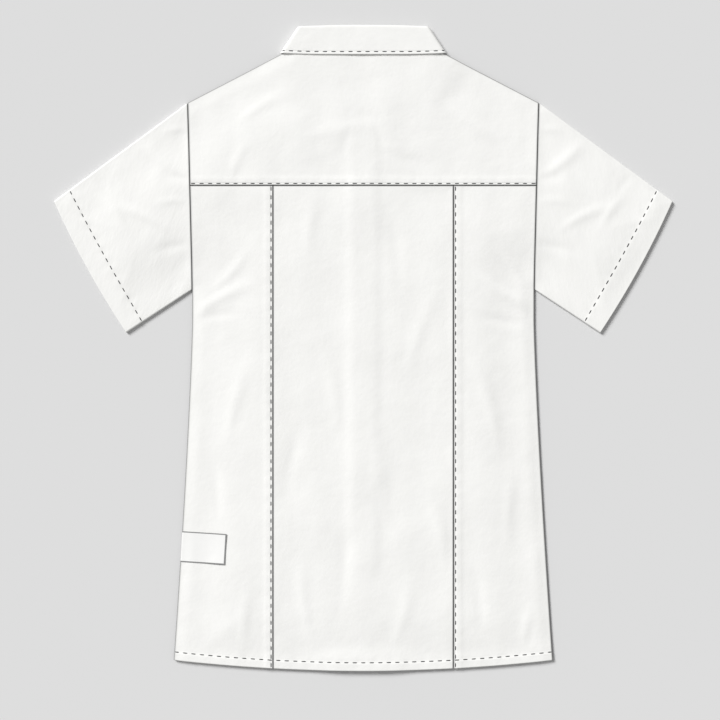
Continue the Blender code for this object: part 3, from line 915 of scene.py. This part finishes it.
def back_panel_heights(x, y, seam_side):
    """Heights, painted seam shade and hem of a back panel. seam_side is the distance from its vertical seam.
    """
    below, above_hem, side = PANEL_TOP - y, y - hem(x), half_width(y) - np.abs(x)
    calm = np.minimum.reduce([side, below + SEAM_SLACK, above_hem, seam_side + SEAM_SLACK])
    z = back_height(x, y) + relief(x, y, calm) + plain_seam(below) + side_drop(x, y)
    z += stitched_hem(above_hem, x) - hem_roll(above_hem)
    return z, painted_seam_shade(below, seam_side, armhole=side), above_hem < BODY_HEM + HEM_MARGIN


def make_centre_panel():
    half, rows = CENTRE_HALF, body_rows(YOKE_SEAM - HEM_LOW, coarsest=0.0036)
    columns = spaced(2 * half, (0.0, 2 * half), finest=0.0005, coarsest=0.0034)
    x, y = panel_plan(columns - half, rows, level(-half), level(half), hem, level(PANEL_TOP))
    seam_side = half - np.abs(x)
    z, shade, hemmed = back_panel_heights(x, y, seam_side)
    z += plain_seam(seam_side)
    sheet(
        "back_centre_cloth", "back_centre_panel", x, y, z, (x, y), shade, hemmed,
    )


def make_side_panel(word, side):
    """side is 1 for the right panel and -1 for the left one."""
    thread = bpy.context.scene.tunic_thread
    rows = body_rows(YOKE_SEAM - HEM_LOW, coarsest=0.0036)
    width = float(right_side(PANEL_TOP)) - SIDE_START
    columns = spaced(width, (0.0, thread.from_seam, width), finest=0.0005, coarsest=0.0030)
    x, y = panel_plan(
        columns + SIDE_START, rows, level(SIDE_START), right_side, hem, level(PANEL_TOP)
    )
    x = x * side
    seam_side = np.abs(x) - SIDE_START
    z, shade, hemmed = back_panel_heights(x, y, seam_side)
    z += stitched_seam(seam_side, y)
    sheet(
        f"back_side_{word}_cloth", f"back_side_panel_{word}", x, y, z, (x, y), shade, hemmed,
        flip=side < 0,
    )


def make_front(word, side, lift):
    """side is 1 for the outer front and -1 for the inner one. Its outer side faces the floor."""
    edge, far = FRONT_OVERLAP / 2, SHOULDER.x - SEAM_GAP / 2
    overlap = spaced(2 * edge, (0.0,), finest=0.0006, coarsest=0.0040) - edge
    start = math.degrees(math.asin((edge / NECK_HALF) ** (NECK_ROUNDNESS / 2)))
    neck = NECK_HALF * neck_curve(np.linspace(start, 90, 30))[0]
    shoulder = far - spaced(far - NECK_HALF, (0.0,), finest=0.0005, coarsest=0.0042)[::-1]
    columns = np.concatenate([overlap, neck[1:], shoulder[1:]])
    rows = body_rows(NECK_SIDE.y - HEM_LOW, coarsest=0.0046)
    x, y = panel_plan(columns, rows, level(-edge), right_side, hem, front_top)
    x = x * side
    above_hem, side_seam = y - hem(x), half_width(y) - np.abs(x)
    shoulder_seam = to_path(np.abs(x), y, SHOULDER_SEAM)
    front_edge = x * side + edge
    neckline = (front_top(x) - y) / NECK_SLANT
    calm = np.minimum.reduce([above_hem, side_seam, shoulder_seam, neckline])
    beside_studs = smooth((np.abs(x) - STUD_STRIP) / STUD_STRIP_FADE)
    z = lift(x, y) + beside_studs * pressed_up(x, y, calm) - side_drop(x, y) - shoulder_drop(x, y)
    z += hem_roll(above_hem) + hem_roll(front_edge) + dent(above_hem - BODY_HEM, FRONT_HEM_FURROW)
    shade, hemmed = painted_seam_shade(shoulder_seam, armhole=side_seam), above_hem < BODY_HEM + HEM_MARGIN
    sheet(f"front_{word}_cloth", f"front_{word}", x, y, z, (x, y), shade, hemmed, flip=side > 0)


# ---- Sleeves ----

def make_sleeve(word, side):
    """A flattened tube, from the underarm seam over the upper side to the overarm fold and back.

    side is 1 for the right sleeve and -1 for the left one. A point's turn is 90 degrees on the upper
    side and -90 on the lower one. The two edges at the underarm stay a few degrees from meeting.
    """
    cloth = bpy.context.scene.tunic_cloth
    width = (SHOULDER - ARMPIT).length
    layer = spaced(width, (0.0, width), finest=0.0009, coarsest=0.0036)[1:-1] / width
    seam, fold, flat = np.linspace(0.07, 1, 5) * 90, np.linspace(90, -90, 9), np.full(len(layer), 90)
    turn = np.concatenate([seam, flat, fold, -flat, -seam[::-1]])
    at_seam, at_fold = np.zeros(len(seam)), np.ones(len(fold))
    across = np.concatenate([at_seam, layer, at_fold, layer[::-1], at_seam])
    features = (0.0, OVERARM - SLEEVE_HEM, OVERARM)
    rows = spaced(OVERARM, features, finest=0.0005, coarsest=0.0032) / OVERARM
    rows = np.maximum(rows, SEAM_GAP / 2 / OVERARM)
    turn, along = np.meshgrid(np.radians(turn), rows)
    across, _ = np.meshgrid(across, rows)

    def at(share):
        return sleeve_plan(along, share)

    over_tip, under_tip = at(np.ones(along.shape)), at(np.zeros(along.shape))
    girth = np.hypot(over_tip[0] - under_tip[0], over_tip[1] - under_tip[1])
    low = back_height(*under_tip) / 2 / girth
    high = 1 - back_height(*over_tip) / 2 / girth
    x, y = at(mix(low, high, across))
    from_armhole = along * mix(UNDERARM, OVERARM, across)
    from_cuff = (1 - along) * mix(UNDERARM, OVERARM, across)
    upper = (1 + np.sin(turn)) / 2
    edge = np.minimum(across, 1 - across) * girth
    calm = np.minimum.reduce([edge, from_armhole + SEAM_SLACK, from_cuff])
    tall = back_height(x, y) + relief(x, y, calm) * upper
    past_hem = from_cuff - sleeve_hem(across)
    inward = roll(from_armhole, cloth.seam_depth, cloth.seam_width)
    inward = inward + dent(past_hem, HEM_FURROW) + hem_roll(from_cuff)
    tall = tall + HEM_EXTRA * fading(past_hem, HEM_STEP) * upper
    ridges = pucker(past_hem, across * girth, pitch=0.017) * upper
    z = inward + (tall - 2 * inward) * upper + pressed_up(x, y, calm) * (1 - upper) + ridges
    leading = [np.where(across > 0.5, over_tip[k] - under_tip[k], under_tip[k] - over_tip[k]) / girth
               for k in (0, 1)]
    reach = np.cos(turn) * (tall / 2 - inward)
    x, y = x + leading[0] * reach, y + leading[1] * reach
    step = 0.004                  # added from column to column, so that those round a fold have a width
    around = np.concatenate([[0.0], np.cumsum(np.abs(np.diff(across[0])) + step)])
    flat_x = (around / around[-1] - 0.5) * 2 * girth
    sheet(
        f"sleeve_{word}_cloth", f"sleeve_{word}", x * side, y, z, (flat_x, from_armhole),
        painted_seam_shade(armhole=from_armhole), past_hem < HEM_MARGIN, flip=side > 0,
    )


# ---- Collar ----

COLLAR_CORNERS = (0, 1, 2, 3)                       # of place and over, as in the functions below
COLLAR_CUT_ALONG = (0.0, 0.0897, 0.098, 0.205)      # of the cut, from centre back to the front end
COLLAR_CUT_OVER = (0.0, 0.030, 0.034, 0.070)        # of the cut, from the neck edge to the outer edge


def collar_plan(place):
    """Neck edge, fold and outer edge of the collar, and the way that its outside faces.

    place runs from 0 at centre back over 1 to 2 round the neck's side and to 3 at centre front.
    """
    fold_roll = (FALL_OFFSET - STAND_OFFSET) / 2 + WALL / 2
    out = FALL_OFFSET + WALL / 2
    slant = Vector((COLLAR_EDGE_HALF - COLLAR_FOLD_HALF, -COLLAR_DEPTH)).normalized()
    outward = Vector((-slant.y, slant.x))
    fold_side = Vector((COLLAR_FOLD_HALF - out / outward.x, TOP - fold_roll - COLLAR_CROWN))
    corner = Vector((COLLAR_EDGE_HALF, COLLAR_EDGE))
    inner_corner = corner - outward * WALL
    clear = float(shoulder_line(inner_corner.x)) - inner_corner.y + SEAM_GAP
    edge_side = corner + Vector((-(out + FALL_SPRING) / outward.x, clear))
    neck_side = NECK_SIDE + Vector((-SEAM_GAP, SEAM_GAP))

    share = np.clip(place, 0.0, 1.0)
    turn = math.pi * np.clip(place - 1, 0.0, 1.0)
    forward = np.clip(place - 2, 0.0, 1.0)
    out_share, drop_share = neck_curve(90 * (1 - forward))
    slide = [-slant[k] * np.sin(turn) * outward.y / slant.y for k in (0, 1)]
    bow = COLLAR_BOW * 4 * forward * (1 - forward)
    neck = [
        neck_side.x * share * out_share + slide[0] * STAND_OFFSET,
        neck_side.y - FRONT_NECK_DROP * drop_share + slide[1] * STAND_OFFSET,
    ]
    fold = [
        fold_side.x * share * out_share + slide[0] * out,
        fold_side.y + COLLAR_CROWN * (1 - share ** 2) - FRONT_FOLD_DROP * drop_share + slide[1] * out,
    ]
    edge = [
        edge_side.x * share + slide[0] * out + (COLLAR_POINT.x - edge_side.x) * forward + bow,
        COLLAR_EDGE + clear * share ** 4 + slide[1] * out + (COLLAR_POINT.y - edge_side.y) * forward,
    ]
    for line in (neck, fold):
        line[0] = np.where(place > 2, np.maximum(line[0], COLLAR_END), line[0])
    way = [outward.x * np.sin(turn), outward.y * np.sin(turn), np.cos(turn)]
    return neck, fold, edge, way


def collar_point(place, over):
    """x, y and z on the collar's outer side.

    over runs from 0 up the stand to 1, round the fold to 2 and down the fall to 3.
    """
    side = np.where(place < 0, -1.0, 1.0)
    neck, fold, edge, way = collar_plan(np.abs(place))
    thread = bpy.context.scene.tunic_thread
    up_stand, round_fold, down_fall = (np.clip(over - k, 0.0, 1.0) for k in (0, 1, 2))
    turn = math.pi * round_fold
    half, small = WALL / 2, (FALL_OFFSET - STAND_OFFSET) / 2
    to_edge = (1 - down_fall) * np.hypot(edge[0] - fold[0], edge[1] - fold[1])
    offset = (FALL_OFFSET + STAND_OFFSET) / 2 - (small + half) * np.cos(turn) + FALL_SPRING * down_fall
    fall = over > 2
    edge_roll = roll(to_edge, depth=0.0005, width=0.0009)
    offset = offset - fall * (edge_roll + dent(to_edge - thread.from_collar_edge, COLLAR_FURROW))
    directions = []
    for other in (neck, edge):
        reach = [fold[k] - other[k] for k in (0, 1)]
        size = np.hypot(*reach)
        directions.append([part / size for part in reach])
    rise = [directions[0][k] + directions[1][k] for k in (0, 1)]
    size = np.hypot(*rise)
    lean = (small + half) * np.sin(turn)
    base = [np.where(fall, mix(fold[k], edge[k], down_fall), mix(neck[k], fold[k], up_stand)) for k in (0, 1)]
    x = base[0] + rise[0] / size * lean + way[0] * offset
    y = base[1] + rise[1] / size * lean + way[1] * offset
    z = COLLAR_MIDDLE + way[2] * offset
    return x * side, y, z


def make_collar():
    back = np.linspace(0, 1, 40)[:-1]
    wrap = np.linspace(1, 2, 17)[:-1]
    front = np.linspace(2, 3, 48)
    right = np.concatenate([back, wrap, front])
    place = np.concatenate([-right[:0:-1], right])
    features = (0.0, 0.0036)      # the fall's edge and its stitches
    fall = 3 - spaced(COLLAR_DEPTH, features, finest=0.0004, coarsest=0.0022)[::-1] / COLLAR_DEPTH
    over = np.concatenate([np.linspace(0, 1, 13)[:-1], np.linspace(1, 2, 11)[:-1], fall[fall > 2.0]])
    place, over = np.meshgrid(place, over)
    x, y, z = collar_point(place, over)
    down_fall, at_back = np.clip(over - 2, 0, 1), np.abs(place) < 1
    wave = 0.00012 * np.sin(60 * x + 1.0) * np.sin(math.pi * down_fall) * at_back
    flat_x = np.sign(place) * np.interp(np.abs(place), COLLAR_CORNERS, COLLAR_CUT_ALONG)
    flat_y = -np.interp(over, COLLAR_CORNERS, COLLAR_CUT_OVER)
    # painted shade along the collar's neck seam, at the stand's lower edge
    shade = 0.8 * bell(COLLAR_CUT_OVER[1] * over, SHADE_REACH)
    sheet(
        "collar_cloth", "collar", x, y, z + wave, (flat_x, flat_y), shade,
        flip=True, ply=COLLAR_PLY,
    )


# ---- Trim ----

def surfaces_of(*names):
    graph = bpy.context.evaluated_depsgraph_get()
    return [BVHTree.FromObject(bpy.data.objects[name], graph) for name in names]


def on_surface(trees, x, y, from_below=False):
    """Point and normal of the outermost cloth above, or below, a point of the plan."""
    way = Vector((0, 0, 1 if from_below else -1))
    start = Vector((x, y, 0)) - way * 0.05
    hits = [tree.ray_cast(start, way) for tree in trees]
    hits = [hit for hit in hits if hit[0] is not None]
    if not hits:
        raise RuntimeError(f"no cloth at {x:.4f}, {y:.4f}")
    point, normal, _, _ = min(hits, key=lambda hit: hit[3])
    return point, normal if normal.dot(way) < 0 else -normal


def stitch_mesh(bm, thread, matrix, share, offset):
    """One stitch, a slim rounded thread that dips into the cloth at both ends."""
    made = bmesh.ops.create_uvsphere(bm, u_segments=8, v_segments=7, radius=0.5)
    cut = bm.loops.layers.uv.verify()
    turn = Matrix.Rotation(math.pi / 2, 4, "Y")
    bmesh.ops.transform(bm, matrix=turn, verts=made["verts"])
    for vert in made["verts"]:
        along = 2 * vert.co.x
        fullness = (1 - abs(along) ** 6) ** 0.5 / max((1 - along * along) ** 0.5, 0.05)
        vert.co.y *= min(fullness, 3.0) * thread.width
        vert.co.z = vert.co.z * min(fullness, 3.0) * thread.width - thread.height * along ** 6
        vert.co.x *= thread.stitch * share
        place = (vert.co.x + offset, vert.co.y)
        for loop in vert.link_loops:
            loop[cut].uv = place
    bmesh.ops.transform(bm, matrix=matrix, verts=made["verts"])


def walk(path, thread, shift):
    """Middle, direction and share of the full length of each stitch along a path of points.

    The stitches are spaced out from the path's middle, and the last ones are cut off by its ends.
    """
    legs = np.linalg.norm(np.diff(path, axis=0), axis=1)
    travelled = np.concatenate([[0.0], np.cumsum(legs)])
    length = travelled[-1]
    count = int(length / thread.pitch / 2) + 1
    middles = length / 2 + thread.pitch * (np.arange(-count, count + 1) + shift)

    def at(distance):
        return np.array([np.interp(distance, travelled, path[:, k]) for k in (0, 1)])

    for middle in middles:
        start, end = np.clip((middle - thread.stitch / 2, middle + thread.stitch / 2), 0, length)
        share = (end - start) / thread.stitch
        if share > 0.3:
            yield at((start + end) / 2), at(end) - at(start), share


def topstitch(name, pieces, paths, from_below=False, shift=0.0):
    """Stitches along paths of (x, y) points on one or more cloth pieces."""
    thread = bpy.context.scene.tunic_thread
    trees = surfaces_of(*pieces)
    bm = bmesh.new()
    count = 0
    for path in paths:
        for middle, way, share in walk(np.array(path), thread, shift):
            point, normal = on_surface(trees, *middle, from_below)
            forward = Vector((way[0], way[1], 0.0)).normalized()
            forward = (forward - normal * forward.dot(normal)).normalized()
            lift = thread.height - thread.width / 2 - (thread.pressed if from_below else 0.0)
            place = Matrix.Translation(point + normal * lift)
            turned = Matrix((forward, normal.cross(forward), normal)).transposed().to_4x4()
            stitch_mesh(bm, thread, place @ turned, share, count * thread.pitch)
            count += 1
    mesh = mesh_from(bm, name)
    mesh.shade_smooth()
    made = add_piece(name, mesh, "topstitch_thread")
    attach(made, BODY)


def make_label():
    """A plain ribbon that comes out of the side seam and lies on the side panel."""
    cloth = surfaces_of("back_side_left_cloth")
    along, across = (
        spaced(size, (0.0, size), finest=0.0006, coarsest=0.0020) for size in (LABEL_LENGTH, LABEL_WIDTH)
    )
    along, across = np.meshgrid(along, across - LABEL_WIDTH / 2)
    seam_x = -float(half_width(LABEL_HEIGHT)) + SEAM_GAP
    cosine, sine = math.cos(LABEL_TILT), math.sin(LABEL_TILT)
    x = seam_x + along * cosine - across * sine
    y = LABEL_HEIGHT + along * sine + across * cosine
    ground = np.array([on_surface(cloth, max(px, -float(half_width(py)) + NEAR), py)[0].z
                       for px, py in zip(x.flat, y.flat)]).reshape(x.shape)
    lying = 0.015                 # length beside the seam that lies flat
    free = smooth((along - lying) / (LABEL_LENGTH - lying))
    corner = (2 * across / LABEL_WIDTH) ** 2
    curl = 0.0005 * free * corner + 0.0004 * free ** 2
    wave = 0.00015 * np.sin(along * 130) * np.sin(across * 90 + 0.7) * free
    z = ground + SEAM_GAP / 2 + RIBBON_PLY + curl + wave
    points, flat = np.stack([x, y, z], axis=-1), np.stack([along, across], axis=-1)
    mesh = grid_mesh("side_label_ribbon", points, flat, shade=np.zeros(x.shape))
    piece = add_piece("side_label_ribbon", mesh, "label_ribbon")
    thicken(piece, RIBBON_PLY, RIBBON_PLY / 3)
    ride_for(piece, "side_label")


def make_stud(node):
    """A press-stud cap turned from a profile, its face towards the floor."""
    low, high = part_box(node)
    middle = Vector(((low.x + high.x) / 2, (low.y + high.y) / 2, low.z))
    radius, height = STUD_RADIUS, high.z - low.z
    profile = [                   # share of the radius, share of the height
        (0.0, 0.22), (0.34, 0.22), (0.40, 0.17), (0.45, 0.04), (0.50, 0.0), (0.74, 0.0),
        (0.86, 0.05), (0.95, 0.22), (1.0, 0.50), (1.0, 0.86), (0.96, 1.0), (0.0, 1.0),
    ]
    bm = bmesh.new()
    verts = [bm.verts.new((radius * r, 0.0, height * z)) for r, z in profile]
    edges = [bm.edges.new(pair) for pair in zip(verts, verts[1:])]
    bmesh.ops.spin(
        bm, geom=verts + edges, cent=(0, 0, 0), axis=(0, 0, 1), angle=2 * math.pi, steps=36, use_merge=True
    )
    bmesh.ops.remove_doubles(bm, verts=bm.verts, dist=0.000005)
    bmesh.ops.recalc_face_normals(bm, faces=bm.faces)
    bmesh.ops.translate(bm, vec=middle, verts=bm.verts)
    mesh = mesh_from(bm, node + "_cap")
    mesh.shade_smooth()
    mesh.set_sharp_from_angle(angle=math.radians(50))
    ride_for(add_piece(node + "_cap", mesh, "stud_plastic"), node)


def line(start, end, count=60):
    return [(mix(start[0], end[0], k / count), mix(start[1], end[1], k / count)) for k in range(count + 1)]


def make_topstitching():
    thread = bpy.context.scene.tunic_thread
    near = 0.0007                 # a row ends this far from the next seam
    yoke_y = YOKE_LOW + thread.from_seam
    yoke_end = float(half_width(yoke_y)) - near
    topstitch("yoke_topstitch", ["back_yoke_cloth"], [line((-yoke_end, yoke_y), (yoke_end, yoke_y))])
    panel_x = SIDE_START + thread.from_seam
    panel_low = float(hem(panel_x)) + NEAR

    def hem_path(start, end):
        return [(x, float(hem(x)) + BODY_HEM) for x in np.linspace(start, end, 120)]

    corner = float(half_width(HEM_CORNER.y + BODY_HEM)) - near
    backs = ["back_side_left_cloth", "back_centre_cloth", "back_side_right_cloth"]
    topstitch("hem_topstitch", backs, [hem_path(-corner, corner)])
    for side, word in ((1, "right"), (-1, "left")):
        seam = line((side * panel_x, YOKE_SEAM - near), (side * panel_x, panel_low))
        topstitch(f"panel_topstitch_{word}", [f"back_side_{word}_cloth"], [seam])
        front = hem_path(side * (0.001 - FRONT_OVERLAP / 2), side * corner)
        topstitch(f"front_hem_topstitch_{word}", [f"front_{word}_cloth"], [front], from_below=True)
        cuff = []
        for share in np.linspace(0.008, 0.992, 60):
            length = mix(UNDERARM, OVERARM, share)
            x, y = sleeve_plan(1 - sleeve_hem(share) / length, share)
            cuff.append((side * float(x), float(y)))
        sleeve = [f"sleeve_{word}_cloth"]
        topstitch(f"sleeve_topstitch_{word}", sleeve, [cuff], shift=0.5)
        topstitch(f"sleeve_under_topstitch_{word}", sleeve, [cuff], from_below=True, shift=0.5)

    def collar_edge(start, end):
        over = np.full(120, 3 - thread.from_collar_edge / COLLAR_DEPTH)
        x, y, _ = collar_point(np.linspace(start, end, 120), over)
        return [(float(px), float(py)) for px, py in zip(x, y)]

    topstitch("collar_topstitch", ["collar_cloth"], [collar_edge(-1.4, 1.4)], shift=0.5)
    fronts = [collar_edge(2.03, 2.93), collar_edge(-2.03, -2.93)]
    topstitch("collar_front_topstitch", ["collar_cloth"], fronts, from_below=True)


# ---- Stage ----

PHOTO_WIDTH = 720
MM_PER_PIXEL = 1.2
FLOOR_DROP = 0.0004                       # so that the stitches of the underside don't reach the floor
KEY_TURN = math.radians(225)              # the key light comes from the photo's upper left
AXIS_PIXEL = Vector((363.3, 348.0))       # where the tunic's own X and Y axes cross in the photo


def make_stage():
    stage = bpy.context.scene.tunic_stage
    bm = bmesh.new()
    bmesh.ops.create_circle(bm, cap_ends=True, segments=96, radius=24)
    bmesh.ops.translate(bm, vec=(0, 0, -FLOOR_DROP), verts=bm.verts)
    add_piece("floor", mesh_from(bm, "floor"), "pale_floor")

    world = bpy.data.worlds.new("studio")
    world.use_nodes = True
    background = world.node_tree.nodes["Background"]
    background.inputs["Color"].default_value = (1.0, 1.0, 1.0, 1.0)
    background.inputs["Strength"].default_value = stage.fill
    bpy.context.scene.world = world

    light = bpy.data.lights.new("key", "SUN")
    light.energy = stage.key
    light.angle = stage.key_size
    key = bpy.data.objects.new("key", light)
    key.rotation_euler = (math.pi / 2 - stage.key_height, 0, KEY_TURN)
    bpy.context.scene.collection.objects.link(key)

    camera = bpy.data.cameras.new("camera")
    camera.lens = stage.lens
    camera.sensor_width = 36
    view_width = PHOTO_WIDTH * MM_PER_PIXEL * MM
    distance = view_width * camera.lens / camera.sensor_width
    middle = PHOTO_WIDTH / 2
    at = bpy.data.objects.new("camera", camera)
    at.location = (
        (middle - AXIS_PIXEL.x) * MM_PER_PIXEL * MM,
        (AXIS_PIXEL.y - middle) * MM_PER_PIXEL * MM,
        distance + SOLIDS_BOX[1].z,
    )
    bpy.context.scene.collection.objects.link(at)
    bpy.context.scene.camera = at
    bpy.context.scene.view_settings.view_transform = "Standard"


# ---- Operators ----

class MakeBack(bpy.types.Operator):
    """Make the yoke and the three back panels"""

    bl_idname = "tunic.back"
    bl_label = "Yoke and back panels"

    def execute(self, context):
        make_yoke()
        make_centre_panel()
        make_side_panel("right", 1)
        make_side_panel("left", -1)
        return {"FINISHED"}


class MakeFronts(bpy.types.Operator):
    """Make the two fronts, which overlap and lie on the floor"""

    bl_idname = "tunic.fronts"
    bl_label = "Fronts"

    def execute(self, context):
        make_front("right", 1, front_lift)
        make_front("left", -1, inner_front_lift)
        return {"FINISHED"}


class MakeSleeves(bpy.types.Operator):
    """Make the two short sleeves"""

    bl_idname = "tunic.sleeves"
    bl_label = "Sleeves"

    def execute(self, context):
        make_sleeve("right", 1)
        make_sleeve("left", -1)
        return {"FINISHED"}


class MakeCollar(bpy.types.Operator):
    """Make the folded collar"""

    bl_idname = "tunic.collar"
    bl_label = "Collar"

    def execute(self, context):
        make_collar()
        return {"FINISHED"}


class MakeTopstitching(bpy.types.Operator):
    """Sew the rows of topstitching on the cloth pieces"""

    bl_idname = "tunic.topstitching"
    bl_label = "Topstitching"

    def execute(self, context):
        make_topstitching()
        return {"FINISHED"}


class MakeLabel(bpy.types.Operator):
    """Make the plain label at the side seam"""

    bl_idname = "tunic.label"
    bl_label = "Side label"

    def execute(self, context):
        make_label()
        return {"FINISHED"}


class MakePressStuds(bpy.types.Operator):
    """Make the caps of the press studs"""

    bl_idname = "tunic.press_studs"
    bl_label = "Press studs"

    def execute(self, context):
        for node in STUD_NODES:
            make_stud(node)
        return {"FINISHED"}


class MakeStage(bpy.types.Operator):
    """Make the floor, the lights and the camera"""

    bl_idname = "tunic.stage"
    bl_label = "Stage"

    def execute(self, context):
        make_stage()
        return {"FINISHED"}


MAKERS = (
    MakeBack, MakeFronts, MakeSleeves, MakeCollar, MakeTopstitching, MakeLabel, MakePressStuds, MakeStage
)
SETTINGS = {
    "tunic_cloth": ClothSettings,
    "tunic_thread": ThreadSettings,
    "tunic_trim": TrimSettings,
    "tunic_stage": StageSettings,
}


class TunicPanel(bpy.types.Panel):
    """Lists the tunic's settings and makers in the sidebar"""

    bl_idname = "VIEW3D_PT_tunic"
    bl_label = "Medical tunic"
    bl_space_type = "VIEW_3D"
    bl_region_type = "UI"
    bl_category = "Tunic"

    def draw(self, context):
        for name, group in SETTINGS.items():
            box = self.layout.box()
            for setting in group.__annotations__:
                box.prop(getattr(context.scene, name), setting)
        for maker in MAKERS:
            self.layout.operator(maker.bl_idname)


def register():
    for group in (*SETTINGS.values(), *MAKERS, TunicPanel):
        bpy.utils.register_class(group)
    for name, group in SETTINGS.items():
        setattr(bpy.types.Scene, name, PointerProperty(type=group))


def unregister():
    for name in SETTINGS:
        delattr(bpy.types.Scene, name)
    for group in reversed((*SETTINGS.values(), *MAKERS, TunicPanel)):
        bpy.utils.unregister_class(group)


def main():
    register()
    for maker in MAKERS:
        category, name = maker.bl_idname.split(".")
        getattr(getattr(bpy.ops, category), name)()


if __name__ == "__main__":
    main()
